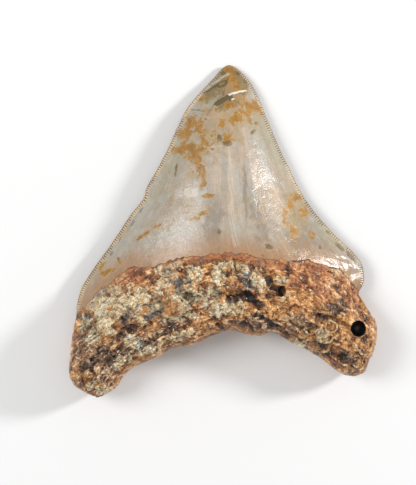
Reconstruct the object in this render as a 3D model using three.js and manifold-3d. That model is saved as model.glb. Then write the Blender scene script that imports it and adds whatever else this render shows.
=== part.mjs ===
// A fossil shark tooth, lying on its flat outer (labial) face.
// One solid: a thin, serrated enamel blade that grows out of a thick, two-lobed, weathered root.
// Millimetres. +X across the tooth, +Y from the root to the tip.
// +Z up, out of the bulging inner (lingual) face.
// The origin is the middle of the tooth's box, on the table.
import * as THREE from "three";
import { mergeVertices } from "three/addons/utils/BufferGeometryUtils.js";
import Module from "manifold-3d";

// Driving dimensions, for a tooth with a slant height of 120 mm
const RIM_MID_ROOT = 9; // height of the root's outer rim above the table
const ROOT_THICKNESS = 23.4; // thickest place of the root
const LOBE_THINNING = 0.0027; // the root thins towards its lobes, by this times the distance squared
const SHOULDER_THINNING = 0.02; // and above the shoulder, in the same way, towards the enamel
const SHOULDER = -20; // the height y above which it does so
const ROOT_RISE = 13; // distance below the enamel over which the root reaches its full height
const BLADE_RISE = 16.2; // how far the blade's inner face bulges above its edges at the root
const BLADE_TAPER = 27; // distance over which that bulge fades towards the tip
const ARCH_WALL = 9; // radius of the rounded wall under the arch
const SIDE_WALL = 6.5; // radius of the rounded wall along the root's outer sides
const FOOT_WALL = 4.5; // radius of the rounding on the flat face
const LEDGE = 0.9; // step up from the enamel to the root, on the inner face
const OUTER_LEDGE = 0.4; // step in from the enamel to the root, on the outer face
const LEDGE_WIDTH = 1.2;
const FOOT_HOLLOW = 1.3; // how far the root clears the table between the two lobes
const SERRATION_DEPTH = 0.4;

// Resolution
const COLUMNS = 118; // ribs that run from the arch to the rim
const ROOT_ROWS = 16;
const BLADE_ROWS_INNER = 8;
const BLADE_ROWS_OUTER = 4;
const ROOT_ROWS_OUTER = 8;
const POINTS_PER_COLUMN = 4; // rim points in each column of the blade: two serrations
const CROWDING = 0.72; // how much closer rows lie at the wall, at the enamel's end and at the edge
const MOST_ROOT = 0.74; // share of a rib that may be root, so that each rib keeps some rows of blade

// The rim, from the end of the left lobe, up the left side, over the tip and down to the right lobe
const LEFT_LOBE_END = [-42.6, -55.7, 8.5];
const LEFT_CORNER = [-49.1, -28.6, 6];
const TIP = [2, 55.7, 1.7];
const RIGHT_CORNER = [45.5, -20.6, 5.5];
const RIGHT_LOBE_END = [44.6, -48.6, 8.5];

const RIM = [
  LEFT_LOBE_END,
  [-45.9, -54.2, RIM_MID_ROOT],
  [-49.2, -52, RIM_MID_ROOT],
  [-51.1, -49.2, RIM_MID_ROOT],
  [-51.5, -45.5, RIM_MID_ROOT],
  [-50.9, -40, RIM_MID_ROOT],
  [-50.3, -34.5, 8.5],
  LEFT_CORNER,
  [-49, -25, 5.2],
  [-47.4, -19.2, 4.8],
  [-43.2, -12.3, 4.4],
  [-37, -3.6, 4],
  [-31.1, 5.3, 3.6],
  [-28.3, 8.8, 3.5],
  [-26.7, 11, 3.4],
  [-25.8, 14.3, 3.3],
  [-22.3, 20.5, 3.1],
  [-18.6, 27.6, 2.9],
  [-15.3, 35.1, 2.7],
  [-12.1, 41.2, 2.5],
  [-7.6, 46.7, 2.2],
  [-3, 51.6, 1.9],
  [-0.6, 54.4, 1.8],
  TIP,
  [4.6, 54.6, 1.8],
  [8.4, 51.2, 1.9],
  [11.4, 46.2, 2.1],
  [14.7, 38.1, 2.5],
  [18.2, 29.8, 2.8],
  [22.4, 20.6, 3.1],
  [27, 11.6, 3.5],
  [32.6, 4.1, 3.9],
  [38.4, -2.3, 4.3],
  [44, -7.6, 4.7],
  [46.7, -11.6, 4.9],
  [47.3, -15.2, 5.1],
  [46.9, -18.2, 5.3],
  RIGHT_CORNER,
  [46.8, -23.6, 7.5],
  [48.6, -26.6, RIM_MID_ROOT],
  [50.6, -29.4, RIM_MID_ROOT],
  [51.5, -34, RIM_MID_ROOT],
  [50.4, -40.2, RIM_MID_ROOT],
  [48.6, -44, RIM_MID_ROOT],
  [47.3, -47, RIM_MID_ROOT],
  RIGHT_LOBE_END,
];

// The lower edge of the root: down-turned at both lobes, arched between them
const ARCH_TOP = [3.4, -33.3, 9.5];
const ARCH = [
  LEFT_LOBE_END,
  [-39.8, -55.1, 9],
  [-35, -51.6, 9],
  [-32.6, -47.8, 9],
  [-29.1, -45.3, 9],
  [-21.1, -41.8, 9.5],
  [-16.8, -39.3, 9.5],
  [-9.5, -38, 9.5],
  [-4.1, -35.4, 9.5],
  ARCH_TOP,
  [8, -34.7, 9.5],
  [12, -35, 9.5],
  [16.6, -34, 9.5],
  [20, -35.9, 9.5],
  [31.2, -41.8, 9],
  [35.4, -45, 9],
  [40, -48, 9],
  RIGHT_LOBE_END,
];

// Where the enamel ends, on the inner and on the outer face: heights y along x
const BORDER_INNER = [
  [-49.1, -28.6],
  [-45.7, -24.9],
  [-40.7, -19.5],
  [-34.9, -15.3],
  [-30, -12],
  [-23, -12.4],
  [-18, -9.9],
  [-8, -8.4],
  [2.5, -7.4],
  [9.7, -8.4],
  [17.4, -9.9],
  [28, -9.9],
  [34.3, -11.5],
  [40, -14],
  [45.5, -20.6],
];
const BORDER_OUTER = [
  [-49.1, -28.6],
  [-38, -24],
  [-24, -20.4],
  [2, -17.2],
  [28, -18.2],
  [38, -19.2],
  [45.5, -20.6],
];

// The root's relief on its inner face: centre x, y, half-widths along and across, turn in degrees, height
const ROOT_RELIEF = [
  [-32.9, -26.6, 12, 7.5, 35, 1.1], // crusted mound on the left shoulder
  [-14.4, -17, 7.5, 5.4, 20, 1.6], // crust knob under the enamel
  [-41.5, -41, 6, 8, 0, 0.6], // swelling of the left lobe
  [-14, -25.2, 8, 2, 8, 0.8], // ridge below the knob
  [-14.4, -29.6, 7.4, 1.8, 8, -1.1], // trench below that ridge
  [5.7, -16.4, 6.4, 5.6, 0, 1.4], // knob right of the middle
  [5.4, -22.9, 5.6, 2, -8, -1.3], // trench under it
  [5.8, -27.8, 7.6, 2.8, -8, 0.9], // crusted ridge over the arch
  [17.4, -17.4, 6.2, 2, -39, -1.5], // gully on the right
  [19.4, -20.6, 2.1, 2, 0, -1.6], // pore at the gully's end
  [28.8, -17.2, 8.4, 4, -8, 1.1], // mound under the enamel on the right
  [37.5, -27.4, 7, 4.4, -35, 0.8], // mound on the right shoulder
  [33.1, -29.2, 2.2, 1.8, 0, -1.3], // hollow
  [29.1, -29, 2, 1.8, 0, -1.0], // hollow beside it
  [24, -31.5, 9, 1.6, -24, -0.8], // trench along the right lobe
  [40.4, -43, 1.6, 1.5, 0, -1.4], // blind boring
  [35.4, -42, 1.7, 1.4, 0, -1.0], // blind boring
  [-44, -33.6, 3, 2.2, 0, -0.7], // dimple on the left shoulder
  [-30, -40.5, 7, 1.8, 25, -0.7], // trench along the left lobe
];

// The blade's flake scars, in the same form
const BLADE_SCARS = [
  [-2, 45.4, 5.6, 1.9, 24, -0.55],
  [-27, 7.6, 1.8, 1.3, 55, -0.5],
  [-31, 1.8, 1.9, 1, 55, -0.45],
];

// A round hole that a clam bored into the right lobe
const BORED_HOLE = { x: 44.3, y: -32.3, radius: 2.6, floor: 12 };

const { smoothstep, lerp, degToRad, clamp } = THREE.MathUtils;

function curveThrough(points) {
  const curve = new THREE.CatmullRomCurve3(points.map((p) => new THREE.Vector3(...p)));
  curve.arcLengthDivisions = 1200;
  return curve;
}

// The share of a curve's length at which it passes a point
function shareAt(curve, [x, y]) {
  const samples = 2400;
  const place = new THREE.Vector2(x, y);
  const away = Array.from({ length: samples + 1 }, (_, i) => {
    const p = curve.getPointAt(i / samples);
    return place.distanceTo(new THREE.Vector2(p.x, p.y));
  });
  return away.indexOf(Math.min(...away)) / samples;
}

// Reads a list of [at, value] pairs, sorted by at, in straight steps
function readTable(table, at) {
  const next = table.findIndex(([x]) => x >= at);
  if (next === 0) return table[0][1];
  if (next < 0) return table[table.length - 1][1];
  const [x0, v0] = table[next - 1];
  const [x1, v1] = table[next];
  return lerp(v0, v1, (at - x0) / (x1 - x0));
}

const rim = curveThrough(RIM);
const arch = curveThrough(ARCH);
const rimLeft = shareAt(rim, LEFT_CORNER);
const rimTip = shareAt(rim, TIP);
const rimRight = shareAt(rim, RIGHT_CORNER);

// Each rib joins a share of the rim to a share of the arch
const RIBS = [
  [0, 0],
  [rimLeft, 0.22],
  [rimTip, shareAt(arch, ARCH_TOP)],
  [rimRight, 0.74],
  [1, 1],
];

// The blade's left and right edge, as tables of x and of height against y
function edgeTables(from, to) {
  const samples = 400;
  const points = Array.from({ length: samples + 1 }, (_, i) => rim.getPointAt(lerp(from, to, i / samples)));
  points.sort((a, b) => a.y - b.y);
  return { x: points.map((p) => [p.y, p.x]), z: points.map((p) => [p.y, p.z]) };
}
const leftEdge = edgeTables(rimLeft, rimTip);
const rightEdge = edgeTables(rimTip, rimRight);

// How far across the blade a place lies, from -1 to 1, and the height of its edges there
function acrossBlade(x, y) {
  const left = readTable(leftEdge.x, y);
  const right = readTable(rightEdge.x, y);
  const half = Math.max((right - left) / 2, 0.01);
  const across = clamp((x - (left + right) / 2) / half, -1, 1);
  const edge = lerp(readTable(leftEdge.z, y), readTable(rightEdge.z, y), (across + 1) / 2);
  return { across, edge };
}

// The blade's two faces: strongly arched inside, nearly flat outside
function bladeInner(x, y) {
  const { across, edge } = acrossBlade(x, y);
  const fromTip = Math.max(TIP[1] - y, 0);
  const rise = BLADE_RISE * (1 - Math.exp(-fromTip / BLADE_TAPER));
  const fullness = 0.78 + 0.3 * smoothstep(fromTip, 15, 70); // the shoulders are thinner than the point
  return edge + rise * (1 - across ** 2) ** fullness;
}
function bladeOuter(x, y) {
  const { across, edge } = acrossBlade(x, y);
  const middle = 2 * smoothstep(TIP[1] - y, 4, 60) - 0.5 * smoothstep(y, 38, 50);
  return edge - (edge - middle) * (1 - across ** 4);
}

// Sum of the mounds and hollows at a place
function relief(list, x, y) {
  return list.reduce((sum, [cx, cy, along, across, turn, height]) => {
    const c = Math.cos(degToRad(turn));
    const s = Math.sin(degToRad(turn));
    const a = ((x - cx) * c + (y - cy) * s) / along;
    const b = ((y - cy) * c - (x - cx) * s) / across;
    return sum + height * Math.exp(-((a ** 2 + b ** 2) ** 1.5));
  }, 0);
}

// Uneven weathering of the root
function weather(x, y) {
  const bend = 2 * Math.sin(0.21 * x + 0.13 * y) + Math.cos(0.34 * y - 0.19 * x);
  const lumps = 0.4 * Math.sin(0.52 * x + bend) * Math.cos(0.66 * y - bend);
  const grooves = 0.16 * Math.sin(0.9 * x + 1.2 * y - bend);
  return lumps + grooves;
}

// A quarter-round wall: 0 at the rim, 1 from one radius inwards
const wall = (distance, radius) => Math.sqrt(1 - (1 - Math.min(distance / radius, 1)) ** 2);

function innerHeight(place, rib, toRim, toArch, border) {
  const { x, y } = place;
  const blade = bladeInner(x, y) + relief(BLADE_SCARS, x, y);
  const below = readTable(border, x) - y; // how far the place lies below the enamel
  if (below <= 0) return blade;
  const lobes = LOBE_THINNING * (x - TIP[0]) ** 2;
  const shoulder = SHOULDER_THINNING * Math.max(y - SHOULDER, 0) ** 2;
  const body = ROOT_THICKNESS - lobes - shoulder + relief(ROOT_RELIEF, x, y) + weather(x, y);
  const top = lerp(blade + LEDGE * smoothstep(below, 0, LEDGE_WIDTH), body, smoothstep(below, 0, ROOT_RISE));
  const rounded = wall(toArch, ARCH_WALL) * wall(toRim, SIDE_WALL);
  return rib.edge + (top - rib.edge) * lerp(1, rounded, smoothstep(below, 0, 5));
}

function outerHeight(place, rib, toRim, toArch, border) {
  const { x, y } = place;
  const blade = bladeOuter(x, y);
  const below = readTable(border, x) - y;
  if (below <= 0) return Math.max(blade, 0);
  const betweenLobes = 1 - smoothstep(Math.abs(x), 20, 34);
  const hollow = (FOOT_HOLLOW + 0.8 * weather(x, y)) * betweenLobes;
  const ledge = OUTER_LEDGE * smoothstep(below, 0, LEDGE_WIDTH);
  const floor = lerp(blade + ledge, hollow, smoothstep(below, 0, 9));
  const rounded = wall(toArch, FOOT_WALL) * wall(toRim, FOOT_WALL);
  return Math.max(rib.edge - (rib.edge - floor) * lerp(1, rounded, smoothstep(below, 0, 5)), 0);
}

// One rib of the tooth, seen from above: from its arch point to its rim point
function ribAt(u) {
  return { foot: arch.getPointAt(readTable(RIBS, u)), head: rim.getPointAt(u) };
}

function placeOn(rib, share) {
  const place = new THREE.Vector3().lerpVectors(rib.foot, rib.head, share);
  const edge = lerp(rib.foot.z, rib.head.z, smoothstep(share, 0.1, 0.9));
  return { place, edge };
}

// The share of a rib that is root
function rootShare(rib, border) {
  const steps = 40;
  const aboveBorder = (share) => {
    const { place } = placeOn(rib, share);
    return place.y - readTable(border, place.x);
  };
  for (let i = 1; i <= steps; i++) {
    const here = aboveBorder(i / steps);
    if (here <= 0) continue;
    const before = aboveBorder((i - 1) / steps);
    return Math.min((i - here / (here - before)) / steps, MOST_ROOT);
  }
  return MOST_ROOT;
}

// Where the rows of a rib lie: those of its root, then those of its blade
const crowd = (t) => t - (CROWDING * Math.sin(2 * Math.PI * t)) / (2 * Math.PI);
function rowShares(share, rootRows, bladeRows) {
  const root = Array.from({ length: rootRows }, (_, i) => share * crowd((i + 1) / rootRows));
  const blade = Array.from({ length: bladeRows - 1 }, (_, i) => lerp(share, 1, crowd((i + 1) / bladeRows)));
  return [...root, ...blade];
}

// A rim point, pushed in or out where the edge is serrated
function rimPoint(column, step) {
  const u = (column + step / POINTS_PER_COLUMN) / COLUMNS;
  const point = rim.getPointAt(u);
  const worn = Math.min(u - rimLeft, rimRight - u, Math.abs(u - rimTip) * 0.7);
  const depth = SERRATION_DEPTH * smoothstep(worn, 0, 0.02) * (step % 2 ? 0.5 : -0.5);
  const along = rim.getTangentAt(u);
  return point.add(new THREE.Vector3(-along.y, along.x, 0).normalize().multiplyScalar(depth));
}

function toothGeometry() {
  const positions = [];
  const index = [];
  const addPoint = (p) => positions.push(p.x, p.y, p.z) / 3 - 1;
  const addFace = (a, b, c, flip) => {
    if (a === b || b === c || a === c) return;
    index.push(...(flip ? [a, c, b] : [a, b, c]));
  };

  const ribs = Array.from({ length: COLUMNS + 1 }, (_, i) => ribAt(i / COLUMNS));
  const leftPole = addPoint(ribs[0].head);
  const rightPole = addPoint(ribs[COLUMNS].head);
  const pole = (i) => (i === 0 ? leftPole : i === COLUMNS ? rightPole : null);
  const feet = ribs.map((rib, i) => pole(i) ?? addPoint(rib.foot));
  const serrated = (i) => i / COLUMNS > rimLeft && (i + 1) / COLUMNS < rimRight;
  const heads = ribs.map((_, i) => {
    const steps = i < COLUMNS && serrated(i) ? POINTS_PER_COLUMN : 1;
    const first = pole(i) ?? addPoint(rimPoint(i, 0));
    return [first, ...Array.from({ length: steps - 1 }, (_, k) => addPoint(rimPoint(i, k + 1)))];
  });

  function addFaceOfTooth(height, borderTable, rootRows, bladeRows, flip) {
    const grid = ribs.map((rib, i) => {
      const length = rib.foot.distanceTo(rib.head);
      const shares = rowShares(rootShare(rib, borderTable), rootRows, bladeRows);
      const inside = shares.map((share) => {
        if (pole(i) !== null) return pole(i);
        const { place, edge } = placeOn(rib, share);
        const z = height(place, { edge }, (1 - share) * length, share * length, borderTable);
        return addPoint(new THREE.Vector3(place.x, place.y, z));
      });
      return [feet[i], ...inside];
    });
    const last = grid[0].length - 1;
    for (let i = 0; i < COLUMNS; i++) {
      for (let j = 0; j < last; j++) {
        addFace(grid[i][j], grid[i + 1][j], grid[i + 1][j + 1], flip);
        addFace(grid[i][j], grid[i + 1][j + 1], grid[i][j + 1], flip);
      }
      const near = grid[i][last];
      const far = grid[i + 1][last];
      const edge = [...heads[i], heads[i + 1][0]];
      const half = Math.floor((edge.length - 1) / 2);
      for (let k = 0; k < edge.length - 1; k++) addFace(k < half ? near : far, edge[k + 1], edge[k], flip);
      addFace(near, far, edge[half], flip);
    }
  }

  addFaceOfTooth(innerHeight, BORDER_INNER, ROOT_ROWS, BLADE_ROWS_INNER, false);
  addFaceOfTooth(outerHeight, BORDER_OUTER, ROOT_ROWS_OUTER, BLADE_ROWS_OUTER, true);

  return new THREE.BufferGeometry()
    .setAttribute("position", new THREE.Float32BufferAttribute(positions, 3))
    .setIndex(index);
}

// A blind round hole with a bowl-shaped floor, as a closed tool to cut with
function holeGeometry({ x, y, radius, floor }) {
  const bowl = 10;
  const above = 30;
  const profile = Array.from({ length: bowl + 1 }, (_, i) => {
    const turn = (i / bowl) * (Math.PI / 2);
    return new THREE.Vector2(radius * Math.sin(turn), radius * (1 - Math.cos(turn)));
  });
  profile.push(new THREE.Vector2(radius, above), new THREE.Vector2(0, above));
  return new THREE.LatheGeometry(profile, 28).rotateX(Math.PI / 2).translate(x, y, floor);
}

const wasm = await Module();
wasm.setup();

function solidOf(geometry) {
  const bare = geometry.clone().deleteAttribute("normal").deleteAttribute("uv");
  const merged = mergeVertices(bare, 1e-4);
  return new wasm.Manifold(
    new wasm.Mesh({
      numProp: 3,
      vertProperties: merged.attributes.position.array,
      triVerts: new Uint32Array(merged.index.array),
    }),
  );
}

function geometryOf(solid) {
  const mesh = solid.getMesh();
  return new THREE.BufferGeometry()
    .setAttribute("position", new THREE.Float32BufferAttribute(mesh.vertProperties, 3))
    .setIndex(new THREE.BufferAttribute(mesh.triVerts, 1));
}

// Grey enamel above the border, rusty root below it
function paint(geometry) {
  const enamel = new THREE.Color("#b9b0a0");
  const root = new THREE.Color("#7d5a38");
  const { position } = geometry.attributes;
  const colours = Array.from({ length: position.count }, (_, i) => {
    const inner = position.getZ(i) > acrossBlade(position.getX(i), position.getY(i)).edge;
    const border = inner ? BORDER_INNER : BORDER_OUTER;
    const isRoot = position.getY(i) < readTable(border, position.getX(i));
    return (isRoot ? root : enamel).toArray();
  });
  geometry.setAttribute("color", new THREE.Float32BufferAttribute(colours.flat(), 3));
}

const geometry = geometryOf(solidOf(toothGeometry()).subtract(solidOf(holeGeometry(BORED_HOLE))));
geometry.computeBoundingBox();
const middle = geometry.boundingBox.getCenter(new THREE.Vector3());
paint(geometry);
geometry.translate(-middle.x, -middle.y, -geometry.boundingBox.min.z);
geometry.computeVertexNormals();

const tooth = new THREE.Mesh(
  geometry,
  new THREE.MeshStandardMaterial({ vertexColors: true, roughness: 0.55, metalness: 0 }),
);
tooth.name = "tooth";

const model = new THREE.Group();
model.add(tooth);

export default model;
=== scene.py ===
# %% [markdown]
# A fossil shark tooth lies on its flatter face. A thin, glossy enamel blade with a fine saw edge grows out
# of a thick root that the sea floor has pitted, crusted and stained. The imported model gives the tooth's
# place and size. This lesson makes the tooth again as a fine mesh, lets Geometry Nodes cut what repeats
# or spreads over the surface, and paints all of it with one procedural material.

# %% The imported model
import math
import bmesh
import bpy
import numpy as np
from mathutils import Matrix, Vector
from mathutils.kdtree import KDTree


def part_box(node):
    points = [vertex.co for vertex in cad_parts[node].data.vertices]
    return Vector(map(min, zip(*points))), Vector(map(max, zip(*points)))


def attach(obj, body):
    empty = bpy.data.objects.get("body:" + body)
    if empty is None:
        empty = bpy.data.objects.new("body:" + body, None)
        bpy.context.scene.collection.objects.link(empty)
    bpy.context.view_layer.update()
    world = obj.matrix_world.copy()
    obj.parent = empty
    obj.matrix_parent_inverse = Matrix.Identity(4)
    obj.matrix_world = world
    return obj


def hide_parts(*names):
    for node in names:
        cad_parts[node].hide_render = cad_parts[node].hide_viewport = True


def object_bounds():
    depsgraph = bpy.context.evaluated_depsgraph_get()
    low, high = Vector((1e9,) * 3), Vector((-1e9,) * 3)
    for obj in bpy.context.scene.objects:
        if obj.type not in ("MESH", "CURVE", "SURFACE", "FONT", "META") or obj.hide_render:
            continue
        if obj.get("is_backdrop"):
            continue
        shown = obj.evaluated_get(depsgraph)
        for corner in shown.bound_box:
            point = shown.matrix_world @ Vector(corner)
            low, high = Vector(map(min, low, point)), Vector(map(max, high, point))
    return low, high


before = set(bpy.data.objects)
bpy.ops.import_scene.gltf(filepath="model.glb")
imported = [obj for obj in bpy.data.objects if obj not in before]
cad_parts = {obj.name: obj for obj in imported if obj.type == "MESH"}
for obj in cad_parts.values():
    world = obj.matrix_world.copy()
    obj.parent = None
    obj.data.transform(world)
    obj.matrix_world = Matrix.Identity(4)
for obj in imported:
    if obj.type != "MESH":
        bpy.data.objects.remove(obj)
cad_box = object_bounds()
cad_low, cad_high = (np.array(corner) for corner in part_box("tooth"))
print("the tooth's box in mm:", np.round((cad_high - cad_low) * 1000, 1))

# %% [markdown]
# Shapes are worked out in millimetres, as a collector would measure them, and turned to metres at the
# end. Marks on the fossil are easiest to give where the photograph shows them, so a helper turns a pixel
# into millimetres. The camera looks straight down, so what lies higher looks larger, and the helper
# takes the height of the surface into account.

# %% Scale, camera and the pixel helper
MM = 0.001
MM_PER_PIXEL = 0.335
MIDDLE_PIXEL = (223.1, 230.45)  # over the tooth's origin
FRAME_PIXELS = (416, 485)
CAMERA_HEIGHT = 650.0
RIM_LEVEL = 5.0  # height at which the scale holds
BLADE_LEVEL = 11.0
ROOT_LEVEL = 20.0
CAMERA_X = (FRAME_PIXELS[0] / 2 - MIDDLE_PIXEL[0]) * MM_PER_PIXEL
CAMERA_Y = (MIDDLE_PIXEL[1] - FRAME_PIXELS[1] / 2) * MM_PER_PIXEL


def at_pixel(column, row, level=ROOT_LEVEL):
    nearer = (CAMERA_HEIGHT - level) / (CAMERA_HEIGHT - RIM_LEVEL) * MM_PER_PIXEL
    x = CAMERA_X + (column - FRAME_PIXELS[0] / 2) * nearer
    y = CAMERA_Y + (FRAME_PIXELS[1] / 2 - row) * nearer
    return x, y


print("the camera stands over", round(CAMERA_X, 2), round(CAMERA_Y, 2))

# %% [markdown]
# Seen from above, the tooth is bounded by two lines that meet at the ends of the root's lobes: the rim,
# which runs over the tip, and the arch under the root. A box with loop cuts or a sculpted lump could
# give the form too, but two smooth curves through measured points keep the outline exact and can be
# sampled as finely as the saw edge needs.

# %% The outline's points, in millimetres
RIM_MID_ROOT = 9
LEFT_LOBE_END = (-42.6, -55.7, 8.5)
LEFT_CORNER = (-49.1, -28.6, 6)
TIP = (2, 55.7, 1.7)
RIGHT_CORNER = (45.5, -20.6, 5.5)
RIGHT_LOBE_END = (44.6, -48.6, 8.5)
ARCH_TOP = (3.4, -33.3, 9.5)
RIM = [
    LEFT_LOBE_END, (-45.9, -54.2, RIM_MID_ROOT), (-49.2, -52, RIM_MID_ROOT),
    (-51.1, -49.2, RIM_MID_ROOT), (-51.5, -45.5, RIM_MID_ROOT), (-50.9, -40, RIM_MID_ROOT),
    (-50.3, -34.5, 8.5), LEFT_CORNER, (-49, -25, 5.2), (-47.4, -19.2, 4.8), (-43.2, -12.3, 4.4),
    (-37, -3.6, 4), (-31.1, 5.3, 3.6), (-28.3, 8.8, 3.5), (-26.7, 11, 3.4), (-25.8, 14.3, 3.3),
    (-22.3, 20.5, 3.1), (-18.6, 27.6, 2.9), (-15.3, 35.1, 2.7), (-12.1, 41.2, 2.5), (-7.6, 46.7, 2.2),
    (-3, 51.6, 1.9), (-0.6, 54.4, 1.8), TIP, (4.6, 54.6, 1.8), (8.4, 51.2, 1.9), (11.4, 46.2, 2.1),
    (14.7, 38.1, 2.5), (18.2, 29.8, 2.8), (22.4, 20.6, 3.1), (27, 11.6, 3.5), (32.6, 4.1, 3.9),
    (38.4, -2.3, 4.3), (44, -7.6, 4.7), (46.7, -11.6, 4.9), (47.3, -15.2, 5.1), (46.9, -18.2, 5.3),
    RIGHT_CORNER, (46.8, -23.6, 7.5), (48.6, -26.6, RIM_MID_ROOT), (50.6, -29.4, RIM_MID_ROOT),
    (51.5, -34, RIM_MID_ROOT), (50.4, -40.2, RIM_MID_ROOT), (48.6, -44, RIM_MID_ROOT),
    (47.3, -47, RIM_MID_ROOT), RIGHT_LOBE_END,
]
ARCH = [
    LEFT_LOBE_END, (-39.8, -55.1, 9), (-35, -51.6, 9), (-32.6, -47.8, 9), (-29.1, -45.3, 9),
    (-21.1, -41.8, 9.5), (-16.8, -39.3, 9.5), (-9.5, -38, 9.5), (-4.1, -35.4, 9.5), ARCH_TOP,
    (8, -34.7, 9.5), (12, -35, 9.5), (16.6, -34, 9.5), (20, -35.9, 9.5), (31.2, -41.8, 9),
    (35.4, -45, 9), (40, -48, 9), RIGHT_LOBE_END,
]

# %% [markdown]
# A Catmull-Rom curve passes through every point. Its centripetal form doesn't loop where points lie
# close together. Each curve is kept as many short straight steps with the share of its length at each.

# %% Smooth curves through the points
STEPS_PER_SPAN = 60


def curve_through(points):
    p = np.array(points, float)
    p = np.vstack([2 * p[0] - p[1], p, 2 * p[-1] - p[-2]])
    pieces = []
    t = np.linspace(0, 1, STEPS_PER_SPAN, endpoint=False)[:, None]
    for a, b, c, d in zip(p, p[1:], p[2:], p[3:]):
        before, span, after = (np.linalg.norm(v - u) ** 0.5 for u, v in ((a, b), (b, c), (c, d)))
        leave = ((b - a) / before - (c - a) / (before + span) + (c - b) / span) * span
        arrive = ((c - b) / span - (d - b) / (span + after) + (d - c) / after) * span
        square = -3 * b + 3 * c - 2 * leave - arrive
        cube = 2 * b - 2 * c + leave + arrive
        pieces.append(b + leave * t + square * t**2 + cube * t**3)
    places = np.vstack([*pieces, p[-2:-1]])
    run = np.concatenate([[0], np.cumsum(np.linalg.norm(np.diff(places, axis=0), axis=1))])
    return {"places": places, "share": run / run[-1], "length": run[-1]}


def on_curve(curve, share):
    return np.stack([np.interp(share, curve["share"], axis) for axis in curve["places"].T], axis=-1)


def share_at(curve, place):
    away = np.linalg.norm(curve["places"][:, :2] - np.array(place[:2]), axis=1)
    return curve["share"][np.argmin(away)]


rim = curve_through(RIM)
arch = curve_through(ARCH)
rim_left, rim_tip, rim_right = (share_at(rim, place) for place in (LEFT_CORNER, TIP, RIGHT_CORNER))
print("rim", round(rim["length"]), "mm, arch", round(arch["length"]), "mm")

# %% [markdown]
# The surface is a set of ribs, each from a point of the arch to a point of the rim. A rib starts in the
# root and crosses into the blade where the enamel ends. The enamel ends higher on the bulging inner face
# than on the outer one, so each face has a border line of its own.

# %% Where the enamel ends, and how the ribs run
BORDER_INNER = np.array([
    (-49.1, -28.6), (-45.7, -24.9), (-40.7, -19.5), (-34.9, -15.3), (-30, -12), (-23, -12.4),
    (-18, -9.9), (-8, -8.4), (2.5, -7.4), (9.7, -8.4), (17.4, -9.9), (28, -9.9), (34.3, -11.5),
    (40, -14), (45.5, -20.6),
])
BORDER_OUTER = np.array([
    (-49.1, -28.6), (-38, -24), (-24, -20.4), (2, -17.2), (28, -18.2), (38, -19.2), (45.5, -20.6),
])
JAGGEDNESS = 0.36  # how far the enamel's end wanders up and down
BORDER_FADE = 6  # the wandering dies away this far from the corners
RIB_RIM = (0, rim_left, rim_tip, rim_right, 1)
RIB_ARCH = (0, 0.22, share_at(arch, ARCH_TOP), 0.74, 1)


def border_at(border, x):
    from_left, from_right = x - border[0, 0], border[-1, 0] - x
    fades = np.clip(from_left / BORDER_FADE, 0, 1) * np.clip(from_right / BORDER_FADE, 0, 1)
    slow = 0.6 + 0.4 * np.sin(0.31 * x + 1)
    teeth = slow * np.sin(1.9 * x + 3 * np.sin(0.43 * x)) + 0.7 * np.sin(0.9 * x + 2 * np.sin(0.27 * x))
    return np.interp(x, border[:, 0], border[:, 1]) + JAGGEDNESS * fades * teeth


def smooth_step(value, low, high):
    t = np.clip((value - low) / (high - low), 0, 1)
    return t * t * (3 - 2 * t)


def between(a, b, share):
    return a + (b - a) * share


border_tops = [float(border[:, 1].max()) for border in (BORDER_INNER, BORDER_OUTER)]
print("the enamel ends at y of", border_tops, "mm on the inner and the outer face")

# %% [markdown]
# Each face is a height over the plane. The blade's height depends on how far across it a place lies: its
# inner face is an arch that fades towards the tip, and its outer face is nearly flat. These are the same
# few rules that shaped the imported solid, so the fine mesh stays where the solid is.

# %% The blade's two faces
BLADE_RISE = 16.2
BLADE_TAPER = 27
EDGE_SAMPLES = 800
NARROWEST = 0.01  # keeps the division below safe at the very tip


def edge_table(start, end):
    places = on_curve(rim, np.linspace(start, end, EDGE_SAMPLES))
    return places[np.argsort(places[:, 1])]


left_edge = edge_table(rim_left, rim_tip)
right_edge = edge_table(rim_tip, rim_right)


def across_blade(x, y):
    left, right = (np.interp(y, table[:, 1], table[:, 0]) for table in (left_edge, right_edge))
    low, high = (np.interp(y, table[:, 1], table[:, 2]) for table in (left_edge, right_edge))
    half = np.maximum((right - left) / 2, NARROWEST)
    across = np.clip((x - (left + right) / 2) / half, -1, 1)
    return across, between(low, high, (across + 1) / 2)


def blade_inner(x, y):
    across, edge = across_blade(x, y)
    from_tip = np.maximum(TIP[1] - y, 0)
    rise = BLADE_RISE * (1 - np.exp(-from_tip / BLADE_TAPER))
    fullness = 0.78 + 0.3 * smooth_step(from_tip, 15, 70)
    return edge + rise * (1 - across**2) ** fullness


def blade_outer(x, y):
    across, edge = across_blade(x, y)
    middle = 2 * smooth_step(TIP[1] - y, 4, 60) - 0.5 * smooth_step(y, 38, 50)
    return edge - (edge - middle) * (1 - across**4)


print("the blade is", round(float(blade_inner(0, 0) - blade_outer(0, 0)), 1), "mm thick at its middle")

# %% [markdown]
# Mounds, trenches and pits of the root are bumps with soft sides, each with a centre, two half-widths, a
# turn and a height. A digital sculptor would push them in by hand. A list keeps each one where the real
# fossil has it and can be read and changed. Large forms come first, and small pits are given in pixels.

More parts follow.
